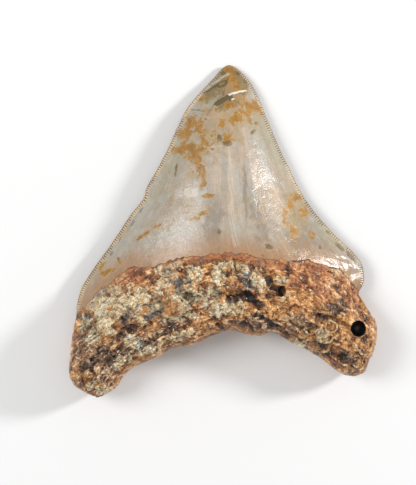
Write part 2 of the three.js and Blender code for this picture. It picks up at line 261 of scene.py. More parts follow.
# %% Forms of the root and scars of the blade
ROOT_FORMS = [  # x, y, half-widths, turn, height, all but the turn in mm
    (-32.9, -26.6, 12, 7.5, 35, 1.1),  # crusted mound on the left shoulder
    (-14.4, -17, 7.5, 5.4, 20, 1.6),  # crust knob under the enamel
    (-41.5, -41, 6, 8, 0, 0.6),  # swelling of the left lobe
    (-14, -25.2, 8, 2, 8, 0.8),  # ridge below the knob
    (-14.4, -29.6, 7.4, 1.8, 8, -1.1),  # trench below that ridge
    (5.7, -16.4, 6.4, 5.6, 0, 1.4),  # knob right of the middle
    (5.4, -22.9, 5.6, 1.6, -8, -1.6),  # trench under it
    (5.8, -27.8, 7.6, 2.8, -8, 0.9),  # crusted ridge over the arch
    (17.4, -17.4, 6.2, 1.6, -39, -1.8),  # gully on the right
    (28.8, -17.2, 8.4, 4, -8, 1.1),  # mound under the enamel on the right
    (37.5, -27.4, 7, 4.4, -35, 0.8),  # mound on the right shoulder
    (24, -31.5, 9, 1.6, -24, -0.8),  # trench along the right lobe
    (-30, -40.5, 7, 1.8, 25, -0.7),  # trench along the left lobe
]
ROOT_PITS = [  # column, row, half-widths in pixels, turn, depth in mm
    (280.4, 292.4, 3.4, 2.2, 30, 2.4), (282.6, 289.6, 2.2, 2.6, 0, 2.0), (288, 271, 8, 2.0, 82, 0.8),
    (268, 279, 11, 2.2, -52, 0.8), (274, 287, 6, 2.0, -30, 0.6), (297, 285, 8, 2, 60, 0.9),
    (306, 274, 7, 2, -20, 0.7), (318, 281, 8, 2, -40, 0.8), (331, 290, 7, 2, -50, 0.7),
    (178.5, 270, 4.2, 2, -10, 1.7), (192, 293, 14, 2.2, 34, 1.1), (186, 277, 7, 2, -50, 0.6),
    (163, 281, 8, 2, 60, 0.5), (310, 330.5, 2.4, 2.2, 0, 0.9), (322, 317, 5, 4.2, 20, 1.2),
    (310, 316, 3, 2.6, 0, 0.8), (343.5, 359, 5.4, 4.6, 0, 1.1), (328.5, 356, 4.6, 3.6, 10, 0.8),
    (335, 309, 6, 4, -30, 0.8), (346, 303, 7, 2.4, -40, 0.7), (366, 340, 3.2, 2.6, 0, 0.7),
    (340, 344, 9, 1.8, -30, 0.8), (305, 346, 8, 1.8, -30, 0.7), (232, 300, 8, 2.6, 24, 1.4),
    (246, 296, 9, 3.4, -8, 1.7), (257, 303, 7, 2.6, -34, 1.3), (247, 281, 10, 1.4, -58, 1.0),
    (241, 280, 8, 1.2, -52, 0.7), (252, 285, 7, 1.2, -62, 0.7), (222, 277, 7, 2, 75, 0.7),
    (258, 316, 12, 2.0, -26, 0.9), (276, 327, 12, 2.0, -30, 0.9), (292, 337, 10, 2.2, -24, 1.1),
    (240, 322, 9, 1.8, 4, 0.9), (214, 320, 9, 1.6, 8, 0.8), (108, 325, 5, 4.4, 0, -0.5),
    (125, 319, 9, 2, 66, 0.9), (131, 330, 8, 2, 50, 0.8), (119, 338, 9, 1.8, 40, 0.6),
    (117, 303, 9, 1.4, -24, 0.5), (98, 300, 8, 1.4, 30, 0.5), (97, 352, 9, 2, 30, 0.8),
    (118, 350, 12, 2, 27, 0.8), (108, 362, 12, 1.6, 27, 0.6), (136, 352, 12, 1.8, 27, 0.6),
    (150, 340, 10, 2, 25, 0.8), (174, 328, 12, 1.8, 22, 0.7), (190, 312, 9, 2, 10, 0.7),
    (160, 312, 9, 1.8, 26, 0.6), (88, 372, 8, 2, 40, 0.6), (289, 341, 7, 2, -30, 0.7),
    (300, 309, 8, 2, -24, 0.7),
]
BLADE_SCARS = [  # as the forms of the root
    (-2, 45.4, 5.6, 1.9, 24, -0.55), (-27, 7.6, 1.8, 1.3, 55, -0.5), (-31, 1.8, 1.9, 1, 55, -0.45),
    (-34.4, -1.9, 1.8, 1, 55, -0.4), (-37.4, -7.6, 1.8, 0.9, 55, -0.35),
    (2.2, 9, 16, 1, 94, 0.2),  # fold that runs down the middle
    (5.2, 12, 13, 1.3, 93, -0.14),  # flutes beside it
    (9.2, 12, 12, 1.4, 92, 0.12), (-2.6, 8, 15, 1.6, 95, -0.12), (43.5, -14.5, 2, 1.5, 20, -0.35),
    (37.4, -7.6, 2.2, 0.6, -45, 0.14),  # dents that break up the gloss of the right shoulder
    (40.2, -9.6, 1.6, 0.7, -20, -0.16), (39.4, -12.4, 1.4, 0.6, -60, 0.14),
    (42.4, -11.6, 1.5, 0.6, -50, 0.16), (44.6, -13, 1.2, 0.7, 10, 0.14),
    (42, -16.6, 1.6, 0.6, -35, 0.14), (44.8, -17.8, 1.3, 0.6, -70, -0.16),
    (36, -10.6, 1.5, 0.6, -30, -0.12),
]
BUMP_EDGE = 1.5  # a higher power gives a bump a flatter top and steeper sides


def form_at_pixel(column, row, along, across, turn, depth):
    x, y = at_pixel(column, row)
    return x, y, along * MM_PER_PIXEL, across * MM_PER_PIXEL, turn, -depth


def relief(forms, x, y):
    total = np.zeros_like(x)
    for centre_x, centre_y, along, across, turn, height in forms:
        c, s = math.cos(math.radians(turn)), math.sin(math.radians(turn))
        a = ((x - centre_x) * c + (y - centre_y) * s) / along
        b = ((y - centre_y) * c - (x - centre_x) * s) / across
        total += height * np.exp(-((a**2 + b**2) ** BUMP_EDGE))
    return total


PIT_FORMS = [form_at_pixel(*pit) for pit in ROOT_PITS]
ROOT_FORMS += PIT_FORMS
print(len(ROOT_FORMS), "forms on the root,", len(BLADE_SCARS), "on the blade")

# %% [markdown]
# The root rises from the enamel over a small ledge, reaches its full thickness and rolls over at its
# edges in quarter-rounds. Underneath it is flat where it rests and a little hollow between the lobes.

# %% The root's two faces
ROOT_THICKNESS = 23.4
LOBE_THINNING = 0.0027
SHOULDER_THINNING = 0.02
SHOULDER = -20
ROOT_RISE = 13
LEDGE = 0.9
OUTER_LEDGE = 0.4
LEDGE_WIDTH = 1.2
ARCH_WALL = 9
SIDE_WALL = 6.5
FOOT_WALL = 4.5
FOOT_HOLLOW = 1.3


def wall(distance, radius):
    return np.sqrt(1 - (1 - np.clip(distance / radius, 0, 1)) ** 2)


def weather(x, y):
    """A slow, uneven swell of the root, in mm."""
    bend = 2 * np.sin(0.21 * x + 0.13 * y) + np.cos(0.34 * y - 0.19 * x)
    return 0.4 * np.sin(0.52 * x + bend) * np.cos(0.66 * y - bend) + 0.16 * np.sin(0.9 * x + 1.2 * y - bend)


def inner_height(x, y, edge, to_rim, to_arch, below):
    blade = blade_inner(x, y) + relief(BLADE_SCARS, x, y)
    thinning = LOBE_THINNING * (x - TIP[0]) ** 2 + SHOULDER_THINNING * np.maximum(y - SHOULDER, 0) ** 2
    body = ROOT_THICKNESS - thinning + relief(ROOT_FORMS, x, y) + weather(x, y)
    ledge = LEDGE * smooth_step(below, 0, LEDGE_WIDTH) * smooth_step(to_rim, 0, 3)
    top = between(blade + ledge, body, smooth_step(below, 0, ROOT_RISE))
    rounded = wall(to_arch, ARCH_WALL) * wall(to_rim, SIDE_WALL)
    root = edge + (top - edge) * between(1, rounded, smooth_step(below, 0, 5))
    return np.where(below <= 0, blade, root)


def outer_height(x, y, edge, to_rim, to_arch, below):
    blade = blade_outer(x, y)
    hollow = (FOOT_HOLLOW + 0.8 * weather(x, y)) * (1 - smooth_step(np.abs(x), 20, 34))
    ledge = OUTER_LEDGE * smooth_step(below, 0, LEDGE_WIDTH)
    floor = between(blade + ledge, hollow, smooth_step(below, 0, 9))
    rounded = wall(to_arch, FOOT_WALL) * wall(to_rim, FOOT_WALL)
    root = edge - (edge - floor) * between(1, rounded, smooth_step(below, 0, 5))
    return np.maximum(np.where(below <= 0, blade, root), 0)


print("the root is", ROOT_THICKNESS, "mm thick before its mounds")

# %% [markdown]
# The saw edge has about twelve serrations to the centimetre. The rim therefore gets four points for
# each serration, while both faces need only one column each. Rows are laid from the arch to the rim:
# those of the root, those of the blade up to a line that follows the rim, and last one or two narrow
# ones at a fixed distance from the rim, where the grooves of the saw edge will be cut.

# %% How finely the surface is divided
SERRATION = 0.82
POINTS_PER_SERRATION = 4
LOBE_COLUMNS = 84
ROOT_ROWS_INNER = 132
BLADE_ROWS_INNER = 68
ROOT_ROWS_OUTER = 24
BLADE_ROWS_OUTER = 10
CROWDING = 0.6
MOST_ROOT = 0.92
EDGE_MARGIN = 1.9  # distance of the last wide row from the rim
GROOVE_ROWS_INNER = (1.1, 0.5)
GROOVE_ROWS_OUTER = (0.7,)
GROOVE_LIFT_INNER = -0.5  # how far a groove sinks into the inner face, as a share of its notch
GROOVE_LIFT_OUTER = 0.3
GROOVE_PULL = 0.3  # and how far it is drawn inwards
left_serrations = round((rim_tip - rim_left) * rim["length"] / SERRATION)
right_serrations = round((rim_right - rim_tip) * rim["length"] / SERRATION)
STRETCHES = [  # start, end, columns, rim points in each
    (0, rim_left, LOBE_COLUMNS, 1),
    (rim_left, rim_tip, left_serrations, POINTS_PER_SERRATION),
    (rim_tip, rim_right, right_serrations, POINTS_PER_SERRATION),
    (rim_right, 1, LOBE_COLUMNS, 1),
]


def columns(along_rim):
    parts = [
        np.linspace(start, end, count * (points if along_rim else 1), endpoint=False)
        for start, end, count, points in STRETCHES
    ]
    return np.append(np.concatenate(parts), 1.0)


def crowd(t):
    return t - CROWDING * np.sin(2 * np.pi * t) / (2 * np.pi)


fine = columns(True)
coarse = columns(False)
serrations = left_serrations + right_serrations
print(serrations, "serrations,", len(fine), "points round the rim,", len(coarse), "ribs")

# %% [markdown]
# The mesh is written as plain lists of places and faces, which is faster than editing it piece by piece.
# With each place go a few facts that the later steps need: how far below the enamel's end it lies, how
# far along the arch and up its rib it lies, which serration it belongs to, and how a notch would pull it.

# %% Places with their facts
facts = {"place": [], "below": [], "flow": [], "serration": [], "pull": []}
DEEP_IN_ROOT = 10  # given as the depth below the enamel where it only has to be large
TANGENT_STEP = 0.002  # share of the rim over which its direction is taken
WORN_SHARE = 0.02  # the saw edge dies away over this share of the rim
TIP_WEAR = 0.7  # and a little more slowly at the tip


def add_row(place, below, flow, serration=None, pull=None):
    first = sum(len(row) for row in facts["place"])
    count = len(place)
    facts["place"].append(place)
    facts["below"].append(np.broadcast_to(below, count))
    facts["flow"].append(np.stack([flow[0], np.broadcast_to(flow[1], count), np.zeros(count)], axis=1))
    facts["serration"].append(np.zeros(count) if serration is None else serration)
    facts["pull"].append(np.zeros((count, 3)) if pull is None else pull)
    return first + np.arange(count)


def fan(near, far, flip):
    """Triangles between two rows, where the far row has a whole multiple of the near row's steps."""
    ratio = (len(far) - 1) // (len(near) - 1)
    half = ratio // 2
    i = np.arange(len(near) - 1)
    made = [np.stack([near[i], near[i + 1], far[i * ratio + half]], axis=1)]
    for k in range(ratio):
        corner = near[i] if k < half else near[i + 1]
        made.append(np.stack([corner, far[i * ratio + k + 1], far[i * ratio + k]], axis=1))
    faces = np.concatenate(made)
    return faces[:, ::-1] if flip else faces


def join_rows(near, far, flip):
    made = []
    i = j = 0
    for _, _, count, points in STRETCHES:
        near_steps = count * (points if len(near) == len(fine) else 1)
        far_steps = count * (points if len(far) == len(fine) else 1)
        made.append(fan(near[i : i + near_steps + 1], far[j : j + far_steps + 1], flip))
        i += near_steps
        j += far_steps
    return np.concatenate(made)


def inward(share):
    ahead = on_curve(rim, np.minimum(share + TANGENT_STEP, 1))
    step = ahead - on_curve(rim, np.maximum(share - TANGENT_STEP, 0))
    step[:, 2] = 0
    step /= np.linalg.norm(step, axis=1)[:, None]
    return np.stack([step[:, 1], -step[:, 0], np.zeros(len(step))], axis=1)


def along_arch(share):
    return np.interp(share, RIB_RIM, RIB_ARCH) * arch["length"]


rim_places = on_curve(rim, fine)
rim_reach = np.linalg.norm(rim_places - on_curve(arch, np.interp(fine, RIB_RIM, RIB_ARCH)), axis=1)
first_notch = np.searchsorted(fine, rim_left)
serration_count = (np.arange(len(fine)) - first_notch) / POINTS_PER_SERRATION
worn_ends = np.minimum(np.minimum(fine - rim_left, rim_right - fine), np.abs(fine - rim_tip) * TIP_WEAR)
sawn = smooth_step(worn_ends, 0, WORN_SHARE)
rim_pull = inward(fine) * sawn[:, None]
rim_below = np.where((fine < rim_left) | (fine > rim_right), DEEP_IN_ROOT, 0)
rim_ids = add_row(rim_places, rim_below, (along_arch(fine), rim_reach), serration_count, rim_pull)
arch_places = on_curve(arch, np.interp(coarse, RIB_RIM, RIB_ARCH))
arch_ids = add_row(arch_places, DEEP_IN_ROOT, (along_arch(coarse), 0))
LEFT_POLE, RIGHT_POLE = rim_ids[0], rim_ids[-1]
arch_ids[0], arch_ids[-1] = LEFT_POLE, RIGHT_POLE
print("rim and arch laid:", len(rim_ids), "and", len(arch_ids), "places")

# %% [markdown]
# One function lays both faces. For each rib it finds where the rib crosses the enamel's border, so that
# one row of places lies exactly on that line and the ledge comes out clean. Distances to the rim and the
# arch are true ones, from a search tree, so that the rounded walls run evenly round every corner.

# %% Laying one face of the tooth
CROSSING_STEPS = 400  # how finely a rib is searched for the enamel's border
SHORT_RIB = 8  # a rib shorter than this gives up some of its margin


def distance_to(curve):
    tree = KDTree(len(curve["places"]))
    for index, place in enumerate(curve["places"]):
        tree.insert((place[0], place[1], 0), index)
    tree.balance()
    return lambda x, y: np.array([tree.find((a, b, 0))[2] for a, b in zip(x, y)])


to_rim = distance_to(rim)
to_arch = distance_to(arch)


def root_share(foot, head, border):
    shares = np.linspace(0, 1, CROSSING_STEPS + 1)
    place = foot[:, None, :2] + (head - foot)[:, None, :2] * shares[None, :, None]
    above = place[..., 1] - border_at(border, place[..., 0])
    first = np.argmax(above > 0, axis=1)
    row = np.arange(len(foot))
    here, before = above[row, first], above[row, np.maximum(first - 1, 0)]
    crossing = shares[first] - (shares[1] * here / np.where(here == before, 1, here - before))
    return np.where((above > 0).any(axis=1), np.minimum(crossing, MOST_ROOT), MOST_ROOT)


def lay_face(height, border, root_rows, blade_rows, groove_rows, groove_lift, flip):
    foot, rim_end = on_curve(arch, np.interp(coarse, RIB_RIM, RIB_ARCH)), on_curve(rim, coarse)
    room = np.minimum(np.linalg.norm(rim_end - foot, axis=1) / SHORT_RIB, 1)
    head = rim_end + inward(coarse) * (EDGE_MARGIN * room)[:, None]
    length = np.linalg.norm(head - foot, axis=1)
    root = root_share(foot, head, border)
    shares = [root * crowd(i / root_rows) for i in range(1, root_rows + 1)]
    shares += [between(root, 1, i / blade_rows) for i in range(1, blade_rows + 1)]
    rows = [arch_ids]
    for s in shares:
        x, y = (foot + (head - foot) * s[:, None])[:, :2].T
        edge = between(foot[:, 2], head[:, 2], smooth_step(s, 0.1, 0.9))
        below = border_at(border, x) - y
        z = height(x, y, edge, to_rim(x, y), to_arch(x, y), below)
        rows.append(add_row(np.stack([x, y, z], axis=1), below, (along_arch(coarse), s * length)))
    fine_room = np.minimum(rim_reach / SHORT_RIB, 1)
    for distance in groove_rows:
        d = distance * fine_room
        x, y = (rim_places + inward(fine) * d[:, None])[:, :2].T
        below = border_at(border, x) - y
        z = height(x, y, rim_places[:, 2], d, to_arch(x, y), below)
        weaken = 1 - distance / EDGE_MARGIN
        pull = rim_pull * GROOVE_PULL * weaken + np.array([0, 0, groove_lift]) * (sawn * weaken)[:, None]
        flow = (along_arch(fine), rim_reach - d)
        rows.append(add_row(np.stack([x, y, z], axis=1), below, flow, serration_count, pull))
    rows.append(rim_ids)
    for row in rows[1:-1]:
        row[0], row[-1] = LEFT_POLE, RIGHT_POLE
    return np.concatenate([join_rows(near, far, flip) for near, far in zip(rows, rows[1:])])


inner_rows = (ROOT_ROWS_INNER, BLADE_ROWS_INNER, GROOVE_ROWS_INNER)
outer_rows = (ROOT_ROWS_OUTER, BLADE_ROWS_OUTER, GROOVE_ROWS_OUTER)
inner = lay_face(inner_height, BORDER_INNER, *inner_rows, GROOVE_LIFT_INNER, False)
outer = lay_face(outer_height, BORDER_OUTER, *outer_rows, GROOVE_LIFT_OUTER, True)
print("inner face", len(inner), "triangles, outer face", len(outer))

# %% [markdown]
# Stains and crusts have their own places on the fossil, and so have the painted shade and the painted
# sheen on the blade. A brush on an image would need an image file, so each pigment is a list of soft-edged
# spots, given in pixels, that fill one number per place: 1 in the middle of a spot, 0.5 on its edge and 0
# away from it. The material later breaks that edge up with noise, which makes the border as ragged as a
# real stain.

# %% Where each pigment lies
PIGMENTS = {  # column, row, half-widths, turn
    "ochre": [
        (191, 121, 7, 6, -10), (199, 128, 8, 8, -30), (184, 134, 8, 5, 10), (190, 148, 13, 7, -10),
        (204, 142, 9, 9, -40), (196, 160, 8, 11, -10), (203, 178, 4, 11, -8), (176, 150, 6, 3, 10),
        (248, 111, 13, 5.5, 18), (253, 106, 8, 5, 20), (261, 109, 4, 6, -40), (236, 118, 7, 3, 15),
        (249, 119, 3, 4, 60), (230, 104, 6, 3, 20), (202, 98, 5, 3.4, 30), (222, 122, 5, 3, 30),
        (229, 139, 5, 5, 0), (232, 79, 5, 4, -60), (238, 86, 3.4, 2.4, -40), (231, 68, 6, 3, -20),
        (203, 214, 6, 3, 15), (208, 197, 5, 3, 0), (195, 219, 4, 3, 20), (298, 196, 7, 4.4, -30),
        (291, 206, 5, 7, 0), (303, 212, 4, 7, -20), (294, 233, 3.4, 9, 10), (284, 216, 3, 10, 0),
        (312, 234, 3, 2, -40), (143, 236, 8, 2.2, 35), (157, 226, 5, 1.8, 35), (108, 272, 7, 2.4, 30),
        (100, 268, 4, 5, 30),
    ],
    "sage": [
        (204, 98, 15, 10, 35), (270, 138, 40, 10, -61), (167, 172, 42, 8, 67), (290, 225, 5, 8, 0),
        (330, 236, 20, 7, -50), (299, 222, 6, 5, 0),
    ],
    "peach": [
        (231, 178, 42, 2.6, 88), (243, 150, 26, 4, 84), (262, 208, 18, 4, 100), (256, 172, 22, 5, 100),
        (216, 168, 24, 5, 88), (190, 176, 12, 6, 70), (222, 114, 12, 10, 30), (276, 200, 18, 4, 110),
    ],
    # painted shade on the middle and the right slope of the blade
    "shade": [
        (262, 222, 30, 9, 100), (214, 222, 26, 7, 84), (245, 190, 40, 2, 92), (305, 244, 16, 4, -60),
    ],
    # painted sheen on the blade's left slope
    "sheen": [
        (176, 220, 24, 14, 35), (160, 236, 20, 8, 42), (190, 204, 16, 12, 40), (142, 250, 14, 6, 40),
    ],
    "tip_brown": [
        (228, 70, 16, 12, 0), (222, 84, 16, 9, 30), (238, 84, 10, 12, 0), (212, 92, 12, 5, 35),
        (228, 102, 14, 6, 20),
    ],
    "tan": [
        (222, 124, 26, 20, 0), (200, 152, 12, 24, -15), (246, 112, 14, 9, 15), (296, 212, 12, 22, 10),
    ],
    # painted shade on the blade's lower right
    "warm_shadow": [
        (305, 215, 14, 16, -30), (294, 240, 16, 9, -40), (318, 240, 18, 8, -45),
    ],
    "chip": [
        (140, 210, 3, 1.6, 55), (131, 223, 4, 1.7, 52), (119, 238, 4, 1.6, 52), (110, 254, 3, 1.6, 60),
        (143.5, 202, 1.6, 1.6, 0),
    ],
    "rust": [
        (139, 273, 14, 8, 12), (125, 280, 10, 7, 30), (152, 283, 7, 4, 0), (171, 262, 14, 3, 20),
        (190, 257, 16, 3, 8), (222, 255, 22, 3, 2), (245, 258, 14, 3, -8), (262, 263, 10, 5, -20),
        (286, 268, 16, 6, -6), (306, 268, 14, 7, -8), (322, 272, 10, 6, -14), (338, 279, 12, 4, -24),
        (352, 288, 10, 4, -28), (204, 281, 8, 11, 10), (212, 276, 6, 10, 0), (300, 283, 12, 7, 0),
        (322, 290, 10, 6, -20), (358, 300, 8, 6, -40), (330, 362, 8, 5, -20),
    ],
    "pale": [
        (113, 300, 16, 12, 20), (97, 309, 10, 12, 10), (132, 300, 14, 8, 20), (105, 324, 9, 9, 0),
        (145, 296, 9, 7, 0), (128, 313, 12, 7, 20), (143, 322, 3.5, 5, 0), (131, 340, 6, 6, 0),
        (163, 272, 8, 9, 40), (160, 286, 7, 7, 0), (174, 264, 12, 3, 15), (195, 270, 6, 8, 0),
        (183, 304, 7, 5, 10), (186, 313, 7, 8, -20), (206, 298, 6, 8, 0), (222, 266, 9, 6, 10),
        (218, 279, 5, 9, 10), (238, 265, 12, 4, -12), (258, 281, 5, 9, 20), (226, 306, 15, 7, 0),
        (216, 313, 6, 5, 0), (282, 279.5, 5, 3.4, 0), (322, 336, 5, 7, 10), (90, 388, 8, 5, 20),
        (104, 391, 8, 4, 20), (150, 350, 14, 5, 20), (122, 362, 12, 4, 25), (180, 336, 14, 4, 20),
        (300, 347, 8, 4, -25),
    ],
    "dark": [
        (102, 350, 13, 3, 26), (90, 363, 10, 2.4, 28), (120, 354, 10, 3, 30), (126, 320, 4, 9, -22),
        (131, 331, 6, 3, 40), (119, 338, 8, 2.4, 30), (140, 338, 8, 2, 24), (232, 299, 9, 3, 24),
        (246, 296, 9, 4, -8), (257, 303, 8, 2.4, -34), (268, 281, 9, 2, -52), (288, 271, 8, 1.8, 82),
        (276, 288, 5, 2, -30), (281, 291, 3.6, 3.2, 30), (256, 315, 9, 1.6, -26),
        (275, 326, 9, 1.7, -30), (292, 337, 9, 1.8, -24), (250, 326, 12, 3, -8), (322, 317, 5, 4, 20),
        (334, 308, 8, 5, -30), (343, 302, 8, 3, -40), (344, 359, 5.5, 4.5, 0), (328, 356, 5, 3.4, 10),
        (366, 340, 4, 3.4, 0), (368, 321, 5, 4, 0), (178.5, 269.5, 4.6, 2, -10), (200, 263, 9, 2.4, 10),
        (320, 346, 9, 3, -30), (302, 318, 8, 3, -30), (211, 258, 9, 2, 4),
    ],
    "umber": [
        (92, 360, 22, 17, 20), (118, 356, 22, 9, 26), (82, 342, 8, 12, 0), (146, 342, 20, 8, 24),
        (172, 326, 16, 6, 20), (104, 376, 16, 8, 26), (262, 322, 18, 6, -20), (300, 324, 16, 6, -30),
        (352, 362, 12, 8, -40), (312, 352, 18, 4, -30),
    ],
    "slate": [
        (247, 281, 12, 5, -56), (176, 283, 8, 7, 20), (168, 270, 7, 5, 30), (117, 302, 10, 2, -24),
        (100, 293, 9, 2.4, 26), (136, 296, 8, 2.4, 10), (139, 348, 4.6, 6, 0), (206, 304, 6, 3, 60),
        (150, 316, 9, 3, 30), (84, 318, 4, 3, 30),
    ],
    "amber": [
        (105, 324, 8, 10, 0), (113, 306, 12, 5, 10), (203, 278, 7, 14, 0), (212, 272, 6, 8, 0),
        (228, 272, 6, 6, 0), (300, 300, 14, 8, -30), (272, 308, 14, 6, -30), (322, 300, 10, 6, -30),
        (345, 322, 10, 9, 0), (316, 334, 8, 6, -20), (98, 392, 7, 4, 0), (240, 314, 12, 4, -20),
    ],
    "olive": [
        (92, 336, 7, 9, 0), (176, 284, 8, 8, 0), (188, 280, 6, 6, 0), (180, 295, 12, 6, 8),
        (192, 297, 9, 6, 0), (172, 320, 8, 5, 0), (244, 270, 9, 5, -20), (140, 347, 6, 6, 0),
        (212, 292, 7, 5, 0), (83, 322, 5, 8, 0), (158, 306, 8, 6, 0),
    ],
}
BLADE_PIGMENTS = ("ochre", "sage", "peach", "shade", "sheen", "tip_brown", "tan", "warm_shadow", "chip")
WANDER = 0.4  # how far an edge strays, as a share of the spot's smaller half-width


def wandering(x, y):
    """A smooth, uneven shift that keeps the spots from being ellipses."""
    east = np.sin(0.9 * x + 1.4 * np.sin(0.6 * y + 1)) + 0.6 * np.sin(1.9 * y + 1.3 * np.sin(1.1 * x))
    north = np.sin(1.1 * y + 1.2 * np.sin(0.7 * x + 2)) + 0.6 * np.sin(2.1 * x + 1.5 * np.sin(0.9 * y))
    return east + 0.4 * np.sin(3.7 * x - 2.9 * y), north + 0.4 * np.sin(3.1 * x + 3.3 * y)


def spot_field(name, x, y):
    field = np.zeros_like(x)
    level = BLADE_LEVEL if name in BLADE_PIGMENTS else ROOT_LEVEL
    east, north = wandering(x, y)
    for column, row, along, across, turn in PIGMENTS[name]:
        centre_x, centre_y = at_pixel(column, row, level)
        sway = min(along, across) * MM_PER_PIXEL * WANDER
        from_x, from_y = x + sway * east - centre_x, y + sway * north - centre_y
        c, s = math.cos(math.radians(turn)), math.sin(math.radians(turn))
        a = (from_x * c + from_y * s) / (along * MM_PER_PIXEL)
        b = (from_y * c - from_x * s) / (across * MM_PER_PIXEL)
        field = np.maximum(field, np.clip(1.5 - np.hypot(a, b), 0, 1))
    return field


print("spots:", {name: len(spots) for name, spots in PIGMENTS.items()})

# %% [markdown]
# Now the lists become one mesh. Faces that collapse at the two lobe ends are dropped, unused places too,
# and each fact is stored as an attribute, where Geometry Nodes and the material can read it by name.

# %% The raw tooth as one mesh
CALM_REACH = 4.0  # the crust grows to its full roughness this far from the outline
LEAST_RELIEF = 0.3
DEEPEST_CAVITY = 1.5
UNDERSIDE_SHARE = 0.3  # the stains reach through to the underside this much


def store(mesh, name, kind, values):
    attribute = mesh.attributes.new(name, kind, "POINT")
    field = "vector" if kind == "FLOAT_VECTOR" else "value"
    attribute.data.foreach_set(field, np.ascontiguousarray(values, dtype=np.float32).ravel())


def store_facts(mesh, places, below, flow, serration, pull, facing):
    across, _ = across_blade(places[:, 0], places[:, 1])
    to_edge = np.minimum(to_rim(places[:, 0], places[:, 1]), to_arch(places[:, 0], places[:, 1]))
    store(mesh, "calm", "FLOAT", between(LEAST_RELIEF, 1, smooth_step(to_edge, 0, CALM_REACH)))
    cavity = np.clip(-relief(PIT_FORMS, places[:, 0], places[:, 1]), 0, DEEPEST_CAVITY)
    store(mesh, "cavity", "FLOAT", cavity * facing)
    store(mesh, "below", "FLOAT", below)
    store(mesh, "flow", "FLOAT_VECTOR", flow)
    store(mesh, "serration", "FLOAT", serration)
    store(mesh, "pull", "FLOAT_VECTOR", pull)
    store(mesh, "across", "FLOAT", across)
    store(mesh, "facing", "FLOAT", facing)
    seen = between(UNDERSIDE_SHARE, 1, facing)
    for name in PIGMENTS:
        store(mesh, name, "FLOAT", spot_field(name, places[:, 0], places[:, 1]) * seen)


def tooth_mesh():
    faces = np.concatenate([inner, outer])
    whole = (faces[:, 0] != faces[:, 1]) & (faces[:, 1] != faces[:, 2]) & (faces[:, 0] != faces[:, 2])
    used, faces = np.unique(faces[whole], return_inverse=True)
    faces = faces.reshape(-1, 3)
    place, below, flow, serration, pull = (np.concatenate(facts[key])[used] for key in facts)
    is_inner = np.zeros(len(used))
    is_inner[faces[: int(whole[: len(inner)].sum())].ravel()] = 1
    shift = (cad_low + cad_high)[:2] / 2 - (place.min(0) + place.max(0))[:2] / 2 * MM
    metres = place * MM
    metres[:, :2] += shift
    metres[:, 2] += cad_low[2]
    mesh = bpy.data.meshes.new("weathered_tooth")
    mesh.from_pydata(metres.tolist(), [], faces.tolist())
    mesh.polygons.foreach_set("use_smooth", np.ones(len(faces), bool))
    store_facts(mesh, place, below, flow, serration, pull, is_inner)
    return mesh


tooth = bpy.data.objects.new("weathered_tooth", tooth_mesh())
bpy.context.scene.collection.objects.link(tooth)
print("raw tooth:", len(tooth.data.vertices), "places,", len(tooth.data.polygons), "triangles")

# %% [markdown]
# A clam once bored a round hole into the right lobe. A Boolean cut gives its wall a crisp edge that no
# height over a plane could have. The cutter is a turned profile: a bowl and a straight wall. The cut does
# not carry the stored facts over evenly, so round the hole they are set again, by the distance from its
# axis. There the crust is kept calm, so that the lip stays round.

# %% The bored hole
HOLE_PLACE = (44.3, -32.3)
HOLE_RADIUS = 2.55
HOLE_FLOOR = 12.2
HOLE_HEIGHT = 16
LIP_REACH = 1.6  # how far round the hole the crust is kept calm
HOLE_SIDES = 56
HOLE_RINGS = 12  # in the bowl, and in the wall
ON_AXIS = 1e-6  # a ring narrower than this is a single place
WALL_MARGIN = 0.05
FLOOR_MARGIN = 0.1


def hole_profile():
    turns = np.linspace(0, math.pi / 2, HOLE_RINGS)
    bowl = [(HOLE_RADIUS * math.sin(turn), HOLE_RADIUS * (1 - math.cos(turn))) for turn in turns]
    wall_heights = np.linspace(HOLE_RADIUS, HOLE_HEIGHT, HOLE_RINGS)[1:]
    return bowl + [(HOLE_RADIUS, h) for h in wall_heights] + [(0, HOLE_HEIGHT)]


def hole_cutter():
    shape = bmesh.new()
    turns = np.linspace(0, 2 * math.pi, HOLE_SIDES, endpoint=False)
    middle_x, middle_y = HOLE_PLACE
    rings = []
    for radius, height in hole_profile():
        if radius < ON_AXIS:
            rings.append([shape.verts.new((middle_x * MM, middle_y * MM, (HOLE_FLOOR + height) * MM))])
            continue
        ring = [(middle_x + radius * math.cos(t), middle_y + radius * math.sin(t)) for t in turns]
        rings.append([shape.verts.new((x * MM, y * MM, (HOLE_FLOOR + height) * MM)) for x, y in ring])
    for low, high in zip(rings, rings[1:]):
        for i in range(HOLE_SIDES):
            j = i + 1
            corners = [low[i % len(low)], low[j % len(low)], high[j % len(high)], high[i % len(high)]]
            shape.faces.new(list(dict.fromkeys(corners)))
    bmesh.ops.recalc_face_normals(shape, faces=shape.faces)
    mesh = bpy.data.meshes.new("hole_cutter")
    shape.to_mesh(mesh)
    shape.free()
    return mesh


def plain_result(thing):
    """The object's mesh with its modifiers worked into it."""
    graph = bpy.context.evaluated_depsgraph_get()
    graph.update()
    made = bpy.data.meshes.new_from_object(thing.evaluated_get(graph))
    thing.modifiers.clear()
    old = thing.data
    thing.data = made
    bpy.data.meshes.remove(old)


def places_of(mesh):
    return np.array([vertex.co for vertex in mesh.vertices]) / MM


